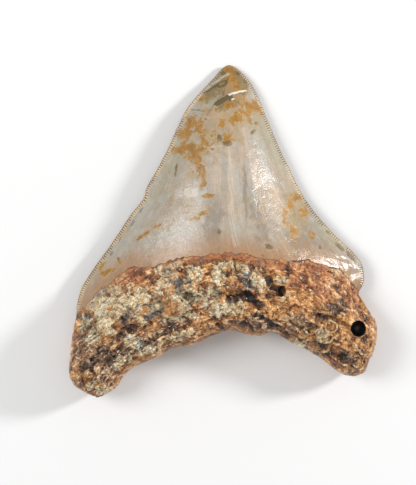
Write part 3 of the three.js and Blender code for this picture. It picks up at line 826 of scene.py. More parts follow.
cutter = bpy.data.objects.new("hole_cutter", hole_cutter())
bpy.context.scene.collection.objects.link(cutter)
places = places_of(cutter.data)
count = len(places)
no_vector, deep = np.zeros((count, 3)), np.full(count, DEEP_IN_ROOT)
store_facts(cutter.data, places, deep, no_vector, np.zeros(count), no_vector, np.ones(count))
cutter.data.polygons.foreach_set("use_smooth", np.ones(len(cutter.data.polygons), bool))
cut = tooth.modifiers.new("bored_hole", "BOOLEAN")
cut.operation = "DIFFERENCE"
cut.solver = "EXACT"
cut.object = cutter
plain_result(tooth)
bpy.data.objects.remove(cutter)
places = places_of(tooth.data)
from_axis = np.hypot(places[:, 0] - HOLE_PLACE[0], places[:, 1] - HOLE_PLACE[1])
above_floor = places[:, 2] > HOLE_FLOOR - FLOOR_MARGIN
in_hole = (from_axis < HOLE_RADIUS + WALL_MARGIN) & above_floor
store(tooth.data, "bored", "FLOAT", in_hole)
near_hole = (from_axis < HOLE_RADIUS + LIP_REACH) & above_floor
calm = smooth_step(from_axis, HOLE_RADIUS, HOLE_RADIUS + LIP_REACH)
for name, wanted in {"below": DEEP_IN_ROOT, "facing": 1, "calm": calm}.items():
    field = tooth.data.attributes[name].data
    values = np.empty(len(places), np.float32)
    field.foreach_get("value", values)
    field.foreach_set("value", np.where(near_hole, wanted, values).astype(np.float32))
print("after the hole:", len(tooth.data.polygons), "faces,", int(in_hole.sum()), "places in the hole")

# %% [markdown]
# Geometry Nodes and materials are both built from small nodes. A helper keeps their making readable. Its
# first methods add a node, put a value or a link on an input, and do one sum. The others stand for what
# comes up often: a noise, given by the size of its blotches in millimetres, and a soft step up or down.

# %% A helper that builds node trees


class Tree:
    def __init__(self, tree):
        self.tree = tree

    def put(self, socket, value):
        if isinstance(value, bpy.types.NodeSocket):
            self.tree.links.new(value, socket)
        else:
            socket.default_value = value

    def add(self, kind, values=(), **settings):
        node = self.tree.nodes.new(kind)
        for name, value in settings.items():
            setattr(node, name, value)
        for name, value in dict(values).items():
            self.put(node.inputs[name], value)
        return node

    def sum(self, operation, *values):
        node = self.add("ShaderNodeMath", operation=operation)
        for socket, value in zip(node.inputs, values):
            self.put(socket, value)
        return node.outputs[0]

    def vector_sum(self, operation, *values):
        node = self.add("ShaderNodeVectorMath", operation=operation)
        for name, value in zip((0, 1), values):
            self.put(node.inputs[name], value)
        return node.outputs[0]

    def scaled(self, vector, amount):
        return self.add("ShaderNodeVectorMath", {0: vector, "Scale": amount}, operation="SCALE").outputs[0]

    def noise(self, vector, size, detail=2.0, roughness=0.5, distortion=0.0):
        values = {"Vector": vector, "Scale": 1 / (size * MM), "Detail": detail, "Roughness": roughness}
        return self.add("ShaderNodeTexNoise", {**values, "Distortion": distortion}).outputs[0]

    def centred(self, value):
        """A value from 0 to 1 made to swing about 0."""
        return self.sum("SUBTRACT", value, 0.5)

    def ramp(self, value, low, high, start=0.0, end=1.0):
        values = {"Value": value, 1: low, 2: high, 3: start, 4: end}
        return self.add("ShaderNodeMapRange", values, interpolation_type="SMOOTHSTEP").outputs[0]


def geometry_tree(name, inputs):
    tree = bpy.data.node_groups.new(name, "GeometryNodeTree")
    tree.interface.new_socket("Geometry", in_out="INPUT", socket_type="NodeSocketGeometry")
    tree.interface.new_socket("Geometry", in_out="OUTPUT", socket_type="NodeSocketGeometry")
    for title, value in inputs.items():
        kinds = {float: "NodeSocketFloat", int: "NodeSocketInt", bpy.types.Object: "NodeSocketObject"}
        kind = kinds.get(type(value), "NodeSocketMaterial")
        socket = tree.interface.new_socket(title, in_out="INPUT", socket_type=kind)
        if value is not None:
            socket.default_value = value
    maker = Tree(tree)
    return maker, maker.add("NodeGroupInput").outputs


def finish_geometry_tree(maker, geometry, material):
    real = maker.add("GeometryNodeRealizeInstances", {"Geometry": geometry}).outputs[0]
    dressed = maker.add("GeometryNodeSetMaterial", {"Geometry": real, "Material": material}).outputs[0]
    maker.add("NodeGroupOutput", {"Geometry": dressed})


def run_geometry_tree(thing, tree, values):
    step = thing.modifiers.new(tree.name, "NODES")
    step.node_group = tree
    for item in tree.interface.items_tree:
        if item.in_out == "INPUT" and item.name in values:
            step[item.identifier] = values[item.name]
    plain_result(thing)


def read(maker, name, kind="FLOAT"):
    return maker.add("GeometryNodeInputNamedAttribute", {"Name": name}, data_type=kind).outputs[0]


def keep(maker, geometry, name, value):
    values = {"Geometry": geometry, "Name": name, "Value": value}
    node = maker.add("GeometryNodeStoreNamedAttribute", values, data_type="FLOAT", domain="POINT")
    return node.outputs[0]


print("the tree helper is ready")

# %% [markdown]
# The saw edge repeats 235 times along a path, which is work for Geometry Nodes. Each place near the rim
# knows its serration, counted from the left corner. A rectified sine over that count is highest in the
# middle of a serration and zero in the notch between two. Notches pull the rim inwards and sink a short
# groove into the face behind it. A random number per notch and a slow noise wear some of them down.

# %% Geometry Nodes for the saw edge


def saw_edge_tree():
    maker, given = geometry_tree(
        "saw_edge",
        {"Notch depth": 0.42, "Unevenness": 0.5, "Wear size": 9.0, "Seed": 3, "Material": None},
    )
    count = read(maker, "serration")
    turn = maker.sum("MULTIPLY", count, math.pi)
    notch = maker.sum("SUBTRACT", 1.0, maker.sum("ABSOLUTE", maker.sum("SINE", turn)))
    number = maker.sum("ROUND", count)
    chance = maker.add(
        "FunctionNodeRandomValue", {"ID": number, "Seed": given["Seed"]}, data_type="FLOAT"
    ).outputs[1]
    uneven = maker.sum("SUBTRACT", 1.0, maker.sum("MULTIPLY", chance, given["Unevenness"]))
    position = maker.add("GeometryNodeInputPosition").outputs[0]
    scale = maker.sum("DIVIDE", 1 / MM, given["Wear size"])
    slow = maker.add("ShaderNodeTexNoise", {"Vector": position, "Scale": scale, "Detail": 1.0}).outputs[0]
    wear = maker.ramp(slow, 0.36, 0.56, 0.45, 1.0)
    depth = maker.sum("MULTIPLY", maker.sum("MULTIPLY", notch, uneven), wear)
    metres = maker.sum("MULTIPLY", maker.sum("MULTIPLY", depth, given["Notch depth"]), MM)
    pull = read(maker, "pull", "FLOAT_VECTOR")
    shift = maker.scaled(pull, metres)
    moved = maker.add("GeometryNodeSetPosition", {"Geometry": given["Geometry"], "Offset": shift}).outputs[0]
    near_edge = maker.add("ShaderNodeVectorMath", {0: pull}, operation="LENGTH").outputs[1]
    kept = keep(maker, moved, "notch", maker.sum("MULTIPLY", depth, near_edge))
    kept = keep(maker, kept, "edge", near_edge)
    finish_geometry_tree(maker, kept, given["Material"])
    return maker.tree


finish = bpy.data.materials.new("fossil_finish")
run_geometry_tree(tooth, saw_edge_tree(), {"Material": finish})
print("saw edge cut:", len(tooth.data.polygons), "faces")

# %% [markdown]
# The root's crust spreads over the whole surface and follows a rule, so Geometry Nodes makes it as well:
# broad lumps, then a finer crust, then grain, each from a noise of its own size, and round pores from a
# Voronoi pattern. A subdivided Displace modifier could do the same, but it can't hand the pore and crust
# values to the material. Here they are stored, so that the material can darken the pits and lighten the
# crests.

# %% Geometry Nodes for the weathered root


def root_crust_tree():
    maker, given = geometry_tree(
        "root_crust",
        {
            "Lump height": 1.6,
            "Crust height": 2.3,
            "Grain height": 0.5,
            "Furrow depth": 0.6,
            "Pore depth": 0.7,
            "Pore spacing": 3.0,
            "Plate height": 0.45,
            "Hollow depth": 0.4,
            "Sink": 0.3,
            "Material": None,
        },
    )
    position = maker.add("GeometryNodeInputPosition").outputs[0]
    rough = maker.ramp(read(maker, "below"), 0.0, 1.1)
    lumps = maker.centred(maker.noise(position, 6.0, 1.0))
    crust = maker.centred(maker.noise(position, 2.8, 2.5, 0.55, 0.8))
    grain = maker.centred(maker.noise(position, 0.8, 1.0))
    winding = maker.sum("ABSOLUTE", maker.centred(maker.noise(position, 4.2, 2.0, 0.5, 1.2)))
    furrow = maker.ramp(winding, 0.0, 0.05, 1.0, 0.0)
    warp = maker.add("ShaderNodeTexNoise", {"Vector": position, "Scale": 1 / (2.0 * MM)}).outputs[1]
    bent = maker.vector_sum("ADD", position, maker.scaled(warp, 0.8 * MM))
    scale = maker.sum("DIVIDE", 1 / MM, given["Pore spacing"])
    cells = maker.add("ShaderNodeTexVoronoi", {"Vector": bent, "Scale": scale}).outputs[0]
    gate = maker.ramp(maker.noise(position, 9.0, 1.0), 0.42, 0.58)
    pore = maker.sum("MULTIPLY", maker.ramp(cells, 0.10, 0.30, 1.0, 0.0), gate)
    height = maker.sum("MULTIPLY", lumps, given["Lump height"])
    height = maker.sum("MULTIPLY_ADD", crust, given["Crust height"], height)
    height = maker.sum("MULTIPLY_ADD", grain, given["Grain height"], height)
    height = maker.sum("SUBTRACT", height, maker.sum("MULTIPLY", pore, given["Pore depth"]))
    height = maker.sum("SUBTRACT", height, maker.sum("MULTIPLY", furrow, given["Furrow depth"]))
    rag = maker.sum("MULTIPLY", maker.centred(maker.noise(position, 2.2, 3.0, 0.6, 1.0)), 2.2)
    plate = maker.ramp(maker.sum("ADD", read(maker, "pale"), rag), 0.42, 0.58)
    hollow = maker.ramp(maker.sum("SUBTRACT", read(maker, "dark"), rag), 0.4, 0.66)
    height = maker.sum("MULTIPLY_ADD", plate, given["Plate height"], height)
    height = maker.sum("SUBTRACT", height, maker.sum("MULTIPLY", hollow, given["Hollow depth"]))
    height = maker.sum("SUBTRACT", height, given["Sink"])
    allowed = maker.sum("MULTIPLY", rough, read(maker, "calm"))
    allowed = maker.sum("MULTIPLY", allowed, maker.sum("SUBTRACT", 1.0, read(maker, "bored")))
    metres = maker.sum("MULTIPLY", maker.sum("MULTIPLY", height, allowed), MM)
    shift = maker.scaled(maker.add("GeometryNodeInputNormal").outputs[0], metres)
    moved = maker.add("GeometryNodeSetPosition", {"Geometry": given["Geometry"], "Offset": shift}).outputs[0]
    kept = keep(maker, moved, "pore", maker.sum("MULTIPLY", pore, rough))
    kept = keep(maker, kept, "furrow", maker.sum("MULTIPLY", furrow, rough))
    kept = keep(maker, kept, "plate", plate)
    kept = keep(maker, kept, "hollow", hollow)
    relief_value = maker.sum("MULTIPLY_ADD", crust, 1.4, maker.sum("MULTIPLY", grain, 0.5))
    kept = keep(maker, kept, "crest", maker.sum("ADD", relief_value, 0.5))
    finish_geometry_tree(maker, kept, given["Material"])
    return maker.tree


run_geometry_tree(tooth, root_crust_tree(), {"Material": finish})
print("root weathered:", len(tooth.data.polygons), "faces")

# %% [markdown]
# Sea worms left limy tubes on the right half of the root. A tube that follows a path over a surface is work
# for Geometry Nodes: the path is smoothed and resampled, dropped onto the crust by a ray from above, and
# swept with a round section that swells and shrinks. By hand, each tube would have to be fitted to the crust.

# %% Geometry Nodes for the worm tubes
WORM_PATHS = [  # pixels on each tube's middle line
    [
        (320.5, 327), (318.6, 331), (318.2, 336), (320.5, 340.5),
        (325, 342.6), (330.4, 341.2), (332.5, 337.6),
    ],
    [
        (328.6, 320.4), (332.6, 321.6), (336.2, 324.6), (336, 329.4),
        (331.6, 332.2), (326.6, 331.4), (325, 328),
    ],
    [(355.4, 344.6), (356.6, 349), (359.4, 350.6), (361, 353.8), (365.6, 355.2)],
    [(305, 331), (307.4, 333.6), (306.4, 337.4)],
    [(333, 271.6), (336.4, 273), (336.6, 276.6), (333.8, 277.6)],
    [(340.6, 312.4), (343.4, 314.8), (342.6, 318)],
]
WORM_LEVEL = 18.0  # height of the crust under them
RAY_HEIGHT = 60 * MM
MERGE_DISTANCE = 0.001 * MM


def worm_tube_tree():
    sizes = {"Tube radius": 0.36, "Swelling": 0.5, "Step": 0.22, "Sunk share": 0.35, "Sides": 9}
    maker, given = geometry_tree("worm_tubes", {**sizes, "Tooth": tooth, "Material": None})
    line = maker.add("GeometryNodeMeshToCurve", {"Mesh": given["Geometry"]}).outputs[0]
    line = maker.add("GeometryNodeCurveSplineType", {"Curve": line}, spline_type="CATMULL_ROM").outputs[0]
    metre_step = maker.sum("MULTIPLY", given["Step"], MM)
    values = {"Curve": line, "Length": metre_step}
    line = maker.add("GeometryNodeResampleCurve", values, mode="LENGTH").outputs[0]
    radius = maker.sum("MULTIPLY", given["Tube radius"], MM)
    position = maker.add("GeometryNodeInputPosition").outputs[0]
    start = maker.vector_sum("ADD", position, (0, 0, RAY_HEIGHT))
    surface = maker.add("GeometryNodeObjectInfo", {"Object": given["Tooth"]}).outputs["Geometry"]
    values = {"Target Geometry": surface, "Source Position": start, "Ray Length": 2 * RAY_HEIGHT}
    hit = maker.add("GeometryNodeRaycast", {**values, "Ray Direction": (0, 0, -1)}).outputs["Hit Position"]
    lift = maker.sum("MULTIPLY", radius, maker.sum("SUBTRACT", 1.0, given["Sunk share"]))
    upward = maker.add("ShaderNodeCombineXYZ", {"Z": lift}).outputs[0]
    settled = maker.vector_sum("ADD", hit, upward)
    line = maker.add("GeometryNodeSetPosition", {"Geometry": line, "Position": settled}).outputs[0]
    along = maker.add("GeometryNodeSplineParameter").outputs["Length"]
    line = keep(maker, line, "along", along)
    uneven = maker.centred(maker.noise(position, 1.4, 1.0))
    swollen = maker.sum("MULTIPLY_ADD", uneven, given["Swelling"], 1.0)
    sized = maker.sum("MULTIPLY", swollen, radius)
    values = {"Resolution": given["Sides"], "Radius": 1.0}
    ring = maker.add("GeometryNodeCurvePrimitiveCircle", values).outputs[0]
    values = {"Curve": line, "Profile Curve": ring, "Scale": sized, "Fill Caps": True}
    tube = maker.add("GeometryNodeCurveToMesh", values).outputs[0]
    finish_geometry_tree(maker, tube, given["Material"])
    return maker.tree


def worm_lines():
    places, edges = [], []
    for points in WORM_PATHS:
        first = len(places)
        places += [(x * MM, y * MM, 0) for x, y in (at_pixel(*point, WORM_LEVEL) for point in points)]
        edges += [(first + i, first + i + 1) for i in range(len(points) - 1)]
    mesh = bpy.data.meshes.new("worm_tubes")
    mesh.from_pydata(places, edges, [])
    return mesh


lime = bpy.data.materials.new("worm_lime")
worms = bpy.data.objects.new("worm_tubes", worm_lines())
bpy.context.scene.collection.objects.link(worms)
run_geometry_tree(worms, worm_tube_tree(), {"Tooth": tooth, "Material": lime})
tube_shape = bmesh.new()
tube_shape.from_mesh(worms.data)
bmesh.ops.remove_doubles(tube_shape, verts=tube_shape.verts, dist=MERGE_DISTANCE)
bmesh.ops.recalc_face_normals(tube_shape, faces=tube_shape.faces)
tube_shape.to_mesh(worms.data)
tube_shape.free()
worms.data.polygons.foreach_set("use_smooth", np.ones(len(worms.data.polygons), bool))
print(len(WORM_PATHS), "worm tubes,", len(worms.data.polygons), "faces")

# %% [markdown]
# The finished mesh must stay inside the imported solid's box, and its flat feet must lie on the floor, so
# places that stick out are pressed back to the box.

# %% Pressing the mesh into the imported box


def press_into_box(mesh):
    places = np.empty(len(mesh.vertices) * 3, np.float32)
    mesh.vertices.foreach_get("co", places)
    places = places.reshape(-1, 3)
    pressed = np.clip(places, cad_low, cad_high).astype(np.float32)
    mesh.vertices.foreach_set("co", pressed.ravel())
    mesh.update()
    return np.abs(places - pressed).max() / MM


print("largest press:", round(float(press_into_box(tooth.data)), 3), "mm")

# %% [markdown]
# One material covers the tooth, because enamel, band and crust are one mineral body. It reads the stored
# facts. The enamel is a cold grey that turns olive at its left edge and pink near the root, with fine
# streaks that fan out from the tip, painted shade on its middle and right slope, and a painted sheen and
# painted highlights in places. The root is a stack of layers: brown ground, then rust, amber, umber, olive
# and slate in places, cream crust, darker colour in the pits and furrows, and pale flecks that stand for
# both grains and glints. Soft spots become ragged stains where noise is added before a threshold.

# %% Colours by name
TONES = {
    "warm_grey": "#b5a592",
    "cold_grey": "#b2aca0",
    "sage": "#a8a087",
    "shade": "#93887a",
    "peach": "#cbb096",
    "sheen": "#d2c8b8",
    "pink": "#a87f5a",
    "tip_brown": "#7f6839",
    "ochre": "#a87624",
    "deep_ochre": "#8a6428",
    "thin_ochre": "#b39866",
    "brown_spot": "#6b5630",
    "chip": "#7d7a77",
    "cream_edge": "#dcc096",
    "edge_gap": "#4a3422",
    "dirt": "#241913",
    "hole": "#37312c",
    "tan": "#a98c64",
    "slate_line": "#454c50",
    "band": "#ae6c3c",
    "band_shade": "#77584a",
    "pale_grain_and_glint": "#fff0d6",
    "lime": "#dfc79c",
    "lime_grime": "#8f6d48",
    "crack": "#5f4c2a",
    "gash": "#5d5238",
    "flake_scar": "#a58356",
    "pale_mark_and_glint": "#f1ebdd",
}
ROOT_GRADES = {  # five tones for each kind of ground, from its pits to its crests
    "brown": ("#2c1b12", "#74492b", "#ad7440", "#d49a5c", "#f8dcae"),
    "rust": ("#351d13", "#80462a", "#b5683a", "#d48d58", "#f4d0a4"),
    "umber": ("#2a1c14", "#61432f", "#8c6546", "#b58b62", "#eed3ac"),
    "amber": ("#352014", "#91592a", "#ca8642", "#e8ad6a", "#fadda6"),
    "olive": ("#26221a", "#625841", "#948563", "#bfb08b", "#f2e8cc"),
    "slate": ("#181a1b", "#46494a", "#787a77", "#b0b0a8", "#eae6d6"),
    "pale": ("#544838", "#a88e68", "#debd8a", "#f6dba8", "#fff4d8"),
    "dark": ("#1c1413", "#483731", "#755f4e", "#ad8f70", "#eedab6"),
}
GRADE_STEPS = (0.1, 0.32, 0.5, 0.68, 0.92)


def linear(code):
    channels = [int(code[i : i + 2], 16) / 255 for i in (1, 3, 5)]
    return (*(c / 12.92 if c <= 0.04045 else ((c + 0.055) / 1.055) ** 2.4 for c in channels), 1.0)


def tone(name):
    return linear(TONES[name])


finish.use_nodes = True
finish.node_tree.nodes.clear()
paint = Tree(finish.node_tree)
spot = paint.add("ShaderNodeTexCoord").outputs["Object"]
print(len(TONES), "tones and", len(ROOT_GRADES), "grades of ground")

# %% [markdown]
# A painter lays one coat over another, and the helpers here do the same. One reads a stored fact, two lay a
# coat on a ground, one gives a stain its ragged edge, one darkens or lightens, and one draws thin winding
# lines. An image painted by hand could show more, but it would blur close up and would need a file.

# %% Helpers that lay one coat over another


def fact(name, output="Fac"):
    return paint.add("ShaderNodeAttribute", attribute_name=name).outputs[output]


def mixed(share, first, second):
    node = paint.add("ShaderNodeMix", data_type="RGBA", clamp_factor=True)
    for index, value in ((0, share), (6, first), (7, second)):
        paint.put(node.inputs[index], tone(value) if isinstance(value, str) else value)
    return node.outputs[2]


def laid(ground, coat, *shares):
    """The ground with a coat on it, as strong as all the shares multiplied."""
    share = shares[0]
    for other in shares[1:]:
        share = paint.sum("MULTIPLY", share, other)
    return mixed(share, ground, coat)


def ragged(field, size, amount, soft=0.1, middle=0.5, bend=1.0, detail=5.0):
    """A soft field made a stain with a ragged edge."""
    coarse = paint.centred(paint.noise(spot, size * 2.5, 2.0, 0.5, bend))
    fine_grain = paint.centred(paint.noise(spot, size, detail, 0.7, bend))
    field = paint.sum("MULTIPLY_ADD", coarse, amount * 0.6, field)
    field = paint.sum("MULTIPLY_ADD", fine_grain, amount, field)
    return paint.ramp(field, middle - soft, middle + soft)


def dimmed(colour, amount):
    grey = paint.add("ShaderNodeCombineXYZ", {0: amount, 1: amount, 2: amount}).outputs[0]
    return paint.vector_sum("MULTIPLY", colour, grey)


def thread(size, width, bend):
    """Thin winding lines: where a noise passes its middle value."""
    away = paint.sum("ABSOLUTE", paint.centred(paint.noise(spot, size, 2.0, 0.6, bend)))
    return paint.ramp(away, 0.0, width, 1.0, 0.0)


print("coats ready")

# %% [markdown]
# A crack or a scratch is thinner than the mesh is fine, so it is drawn in the material: the distance from
# a place to a line through a few pixels, bent a little by noise. An ellipse turned about its centre gives
# a ring or a spot in the same way. All are laid on from above and kept off the underside by the stored
# facing.

# %% Lines and rings drawn in the material
TREMBLE_SIZE = 1.1 * MM
x, y, _ = paint.add("ShaderNodeSeparateXYZ", {"Vector": spot}).outputs
from_above = paint.add("ShaderNodeCombineXYZ", {"X": x, "Y": y}).outputs[0]
values = {"Vector": spot, "Scale": 1 / TREMBLE_SIZE, "Detail": 3.0}
trembling = paint.add("ShaderNodeTexNoise", values).outputs[1]
tremble = paint.scaled(paint.vector_sum("SUBTRACT", trembling, (0.5, 0.5, 0.5)), TREMBLE_SIZE)
drawn_place = paint.vector_sum("ADD", from_above, tremble)
facing = fact("facing")


def pixel_place(column, row):
    return Vector((*at_pixel(column, row, BLADE_LEVEL), 0)) * MM


def drawn_line(points, half_width, soft=0.6):
    nearest = None
    for here, there in zip(points, points[1:]):
        start, along = pixel_place(*here), pixel_place(*there) - pixel_place(*here)
        from_start = paint.vector_sum("SUBTRACT", drawn_place, start)
        values = {0: from_start, 1: along / along.length_squared}
        share = paint.add("ShaderNodeVectorMath", values, operation="DOT_PRODUCT").outputs[1]
        share = paint.add("ShaderNodeClamp", {"Value": share}).outputs[0]
        values = {0: from_start, 1: paint.scaled(along, share)}
        away = paint.add("ShaderNodeVectorMath", values, operation="DISTANCE").outputs[1]
        nearest = away if nearest is None else paint.sum("MINIMUM", nearest, away)
    pixel = MM_PER_PIXEL * MM
    line = paint.ramp(nearest, (half_width - soft) * pixel, (half_width + soft) * pixel, 1.0, 0.0)
    return paint.sum("MULTIPLY", line, facing)


def ellipse(column, row, along, across, turn):
    """0 in the middle of an ellipse and 1 on its line."""
    values = {
        "Vector": drawn_place,
        "Location": pixel_place(column, row),
        "Rotation": (0, 0, math.radians(turn)),
        "Scale": (along * MM_PER_PIXEL * MM, across * MM_PER_PIXEL * MM, 1),
    }
    local = paint.add("ShaderNodeMapping", values, vector_type="TEXTURE").outputs[0]
    return paint.add("ShaderNodeVectorMath", {0: local}, operation="LENGTH").outputs[1]


def drawn_ring(column, row, along, across, turn, half_width):
    off_line = paint.sum("ABSOLUTE", paint.sum("SUBTRACT", ellipse(column, row, along, across, turn), 1.0))
    line = paint.ramp(off_line, half_width * 0.3, half_width, 1.0, 0.0)
    return paint.sum("MULTIPLY", line, facing)


def drawn_spots(spots):
    """1 in the middle of the nearest spot, 0.5 on its edge and 0 away from it."""
    nearest = ellipse(*spots[0])
    for other in spots[1:]:
        nearest = paint.sum("MINIMUM", nearest, ellipse(*other))
    inside = paint.add("ShaderNodeClamp", {"Value": paint.sum("SUBTRACT", 1.5, nearest)}).outputs[0]
    return paint.sum("MULTIPLY", inside, facing)


print("pens ready")

# %% [markdown]
# Streaks in the enamel fan out from the tip. The stored "across" value runs from one edge of the blade
# to the other at every height, so noise over it, drawn long towards the root, gives lines that fan.

# %% The enamel's own colour
across = fact("across")
fan_x = paint.sum("MULTIPLY", across, 0.034)
fan_y = paint.sum("MULTIPLY", y, 0.05)
fan_place = paint.add("ShaderNodeCombineXYZ", {"X": fan_x, "Y": fan_y}).outputs[0]
streaks = paint.noise(fan_place, 0.5, 4.0, 0.7)
broad_streaks = paint.noise(fan_place, 4.0, 3.0, 0.6)
cloud = paint.noise(spot, 14.0, 4.0, 0.6, 0.5)
mottle = paint.noise(spot, 2.6, 5.0, 0.7, 0.6)
speckle = paint.noise(spot, 0.55, 3.0, 0.7)
side = paint.sum("ADD", cloud, paint.sum("MULTIPLY", paint.centred(broad_streaks), 0.8))
enamel = mixed(paint.ramp(side, 0.4, 0.6), "warm_grey", "cold_grey")


def tinted(colour, name, strength, size, amount, soft, streaked=0.0):
    field = fact(name)
    if streaked:
        field = paint.sum("MULTIPLY_ADD", paint.centred(broad_streaks), streaked, field)
    coat = name if name in TONES else "shade"
    return laid(colour, coat, ragged(field, size, amount, soft), strength)


# painted shade: the blade's middle and its right slope are made darker
enamel = tinted(enamel, "shade", 0.8, 4.0, 1.0, 0.45)
enamel = tinted(enamel, "warm_shadow", 0.7, 3.0, 1.2, 0.45)
enamel = tinted(enamel, "sage", 0.75, 4.0, 1.2, 0.3)
enamel = tinted(enamel, "peach", 0.45, 2.0, 1.2, 0.4, 1.2)
enamel = tinted(enamel, "tan", 0.6, 2.4, 1.6, 0.5, 1.0)
# painted sheen: a pale, speckled patch on the blade's left slope
sheen_speckle = paint.ramp(speckle, 0.46, 0.62, 0.0, 0.6)
enamel = laid(enamel, "sheen", sheen_speckle, ragged(fact("sheen"), 2.0, 1.6, 0.5))
enamel = tinted(enamel, "tip_brown", 0.85, 1.8, 2.0, 0.4)
below = fact("below")
toward_root = paint.ramp(paint.sum("ADD", below, paint.sum("MULTIPLY", broad_streaks, 6.0)), -7.0, 3.5)
enamel = laid(enamel, "pink", toward_root, 0.9)
stripes = paint.sum("ADD", streaks, paint.sum("MULTIPLY", broad_streaks, 0.7))
enamel = dimmed(enamel, paint.ramp(stripes, 0.65, 1.05, 0.9, 1.04))
enamel = dimmed(enamel, paint.ramp(mottle, 0.35, 0.65, 0.93, 1.05))
enamel = dimmed(enamel, paint.ramp(speckle, 0.35, 0.65, 0.96, 1.03))
brown_lines = paint.ramp(paint.noise(fan_place, 0.4, 3.0, 0.75), 0.58, 0.68, 0.0, 0.4)
enamel = laid(enamel, "flake_scar", brown_lines, paint.ramp(cloud, 0.42, 0.58, 0.15, 1.0))
print("enamel ground painted")

# %% [markdown]
# Iron has stained the enamel ochre in patches with holes, and each thin stain lets the grey through. The
# marks at the tip come next: a flake scar, a gash with a painted highlight along its lip, a crack that ends
# in a ring. A painted highlight also runs down the fold in the middle of the blade.

# %% Stains and marks on the enamel
BROWN_SPOTS = [  # column, row, half-widths, turn
    (219.5, 138, 2.4, 4, 20), (227.5, 143.5, 4.4, 3, -10), (253, 131.5, 3.4, 1.8, 45),
    (174, 134, 2.2, 5, -15), (176, 170, 1.4, 6, -8), (219, 232, 2.2, 2.6, 0),
    (268, 246.5, 4.4, 2.2, -25), (320, 247.5, 1.5, 1.5, 0), (329, 232, 2.4, 1.8, -40),
    (341, 247, 6, 2, -40), (352, 257, 8, 1.8, -48), (357.6, 264.8, 3.4, 4, 0), (118, 259, 1.8, 1.8, 0),
    (222.8, 70.5, 3, 2.2, 0), (238, 71.5, 2.6, 1.6, -40), (245.8, 80, 1.8, 2.2, 0),
]
OCHRE_SPECKS = [  # in the same order
    (216, 109, 1.6, 2, 0), (205.6, 119, 1.8, 1.6, 0), (120, 262, 2.4, 2.4, 0), (222, 126, 2, 1.4, 20),
    (233, 124, 1.6, 2.4, 0), (257, 122, 1.4, 2.6, -20), (212, 149, 1.6, 1.2, 0),
    (312, 237, 2.4, 1.4, -30),
]
ochre_field = paint.sum("MAXIMUM", fact("ochre"), drawn_spots(OCHRE_SPECKS))
stained = ragged(ochre_field, 1.3, 2.4, 0.22, 0.6)
halo = ragged(ochre_field, 1.8, 2.4, 0.3, 0.42)
thickness = paint.noise(spot, 3.2, 4.0, 0.65, 0.8)
enamel = laid(enamel, "thin_ochre", halo, paint.ramp(speckle, 0.36, 0.6, 0.15, 0.85))
enamel = laid(enamel, "ochre", stained, paint.ramp(speckle, 0.34, 0.54, 0.6, 1.0))
enamel = laid(enamel, "deep_ochre", stained, paint.ramp(thickness, 0.46, 0.66, 0.0, 0.8))
TIP_MARKS = [  # tone, strength, half-width in pixels, pixels on the line
    ("flake_scar", 0.8, 3.6, [(231, 84), (228, 90), (236, 91)]),
    ("flake_scar", 0.8, 2.8, [(236, 97), (241, 97)]),
    ("flake_scar", 0.8, 1.6, [(242.4, 98), (241.6, 106)]),
    ("ochre", 0.8, 0.8, [(244.4, 95.5), (244.6, 101), (242.4, 107.6), (239.6, 103)]),
    ("pale_mark_and_glint", 0.3, 1.3, [(212.4, 82.6), (220.3, 76.8), (228.6, 71.8)]),
    ("crack", 0.95, 1.0, [(197, 95.4), (202.4, 91.4), (207.4, 89.6), (213.1, 86.2), (217.6, 83.6)]),
    ("dirt", 0.8, 0.9, [(196.6, 95.6), (199.6, 93.2)]),
    ("crack", 0.8, 0.8, [(226.6, 79.6), (228.4, 76.4)]),
    ("crack", 0.6, 0.5, [(228.1, 77.3), (224.2, 89), (223.2, 94.4)]),
    ("gash", 0.9, 2.3, [(216.4, 103.6), (221.7, 100.6), (227.4, 97.6), (231.4, 97.4)]),
    ("crack", 0.9, 0.9, [(214.4, 104), (219.4, 99.4), (224, 96.4), (229, 94.6)]),
    ("crack", 0.7, 0.6, [(191, 108.4), (195.3, 108.6), (200.3, 109.6), (203.1, 110.6)]),
    ("crack", 0.5, 0.5, [(213.6, 105), (209.4, 110.6), (207.6, 115)]),
    ("dirt", 0.8, 0.7, [(230.6, 94.2), (233, 93)]),
    # painted highlights: the glint along the gash's lip and a small glint below it
    ("pale_mark_and_glint", 1.0, 0.8, [(229.4, 93.6), (234.6, 92.4), (238.9, 90.8), (245.8, 89.4)]),
    ("pale_mark_and_glint", 0.8, 0.8, [(232.8, 98.8), (233.6, 98.4)]),
]
for name, strength, half_width, points in TIP_MARKS:
    enamel = laid(enamel, name, drawn_line(points, half_width), strength)
enamel = laid(enamel, "crack", drawn_ring(222.4, 82.3, 4.6, 2.5, 28, 0.36), 0.9)
# painted highlight: a pale stripe along the fold down the middle of the blade
fold = drawn_line([(228.5, 150), (230.5, 190), (231, 222), (236, 244)], 2.6, 2.4)
enamel = laid(enamel, "pale_mark_and_glint", fold, paint.ramp(streaks, 0.4, 0.6, 0.0, 0.25))
spotted = ragged(drawn_spots(BROWN_SPOTS), 0.7, 1.0, 0.16)
enamel = laid(enamel, "brown_spot", spotted, paint.ramp(speckle, 0.4, 0.6, 0.45, 0.95))
enamel = laid(enamel, "chip", ragged(fact("chip"), 0.8, 1.4), 0.8)
print(len(TIP_MARKS), "marks at the tip")

# %% [markdown]
# The serrations are cream and the gaps between them are dark brown. Slow noise lets both come and go.

# %% The saw edge's colour
edge_noise = paint.noise(spot, 6.0, 2.0)
edge_reach = paint.sum("MULTIPLY_ADD", across, -0.07, fact("edge"))
unworn = paint.ramp(edge_noise, 0.4, 0.58, 0.3, 1.0)
enamel = laid(enamel, "cream_edge", paint.ramp(edge_reach, 0.12, 0.4), unworn)
enamel = laid(enamel, "edge_gap", paint.ramp(fact("notch"), 0.03, 0.16), 0.85)
print("saw edge painted")

# %% [markdown]
# The root's ground changes from place to place, but one rule holds all over it: pits are dark and crests
# are light. So one number runs from pit to crest, made of the stored relief and of winding and drawn-out
# noise, and each kind of ground grades that number through five tones of its own.

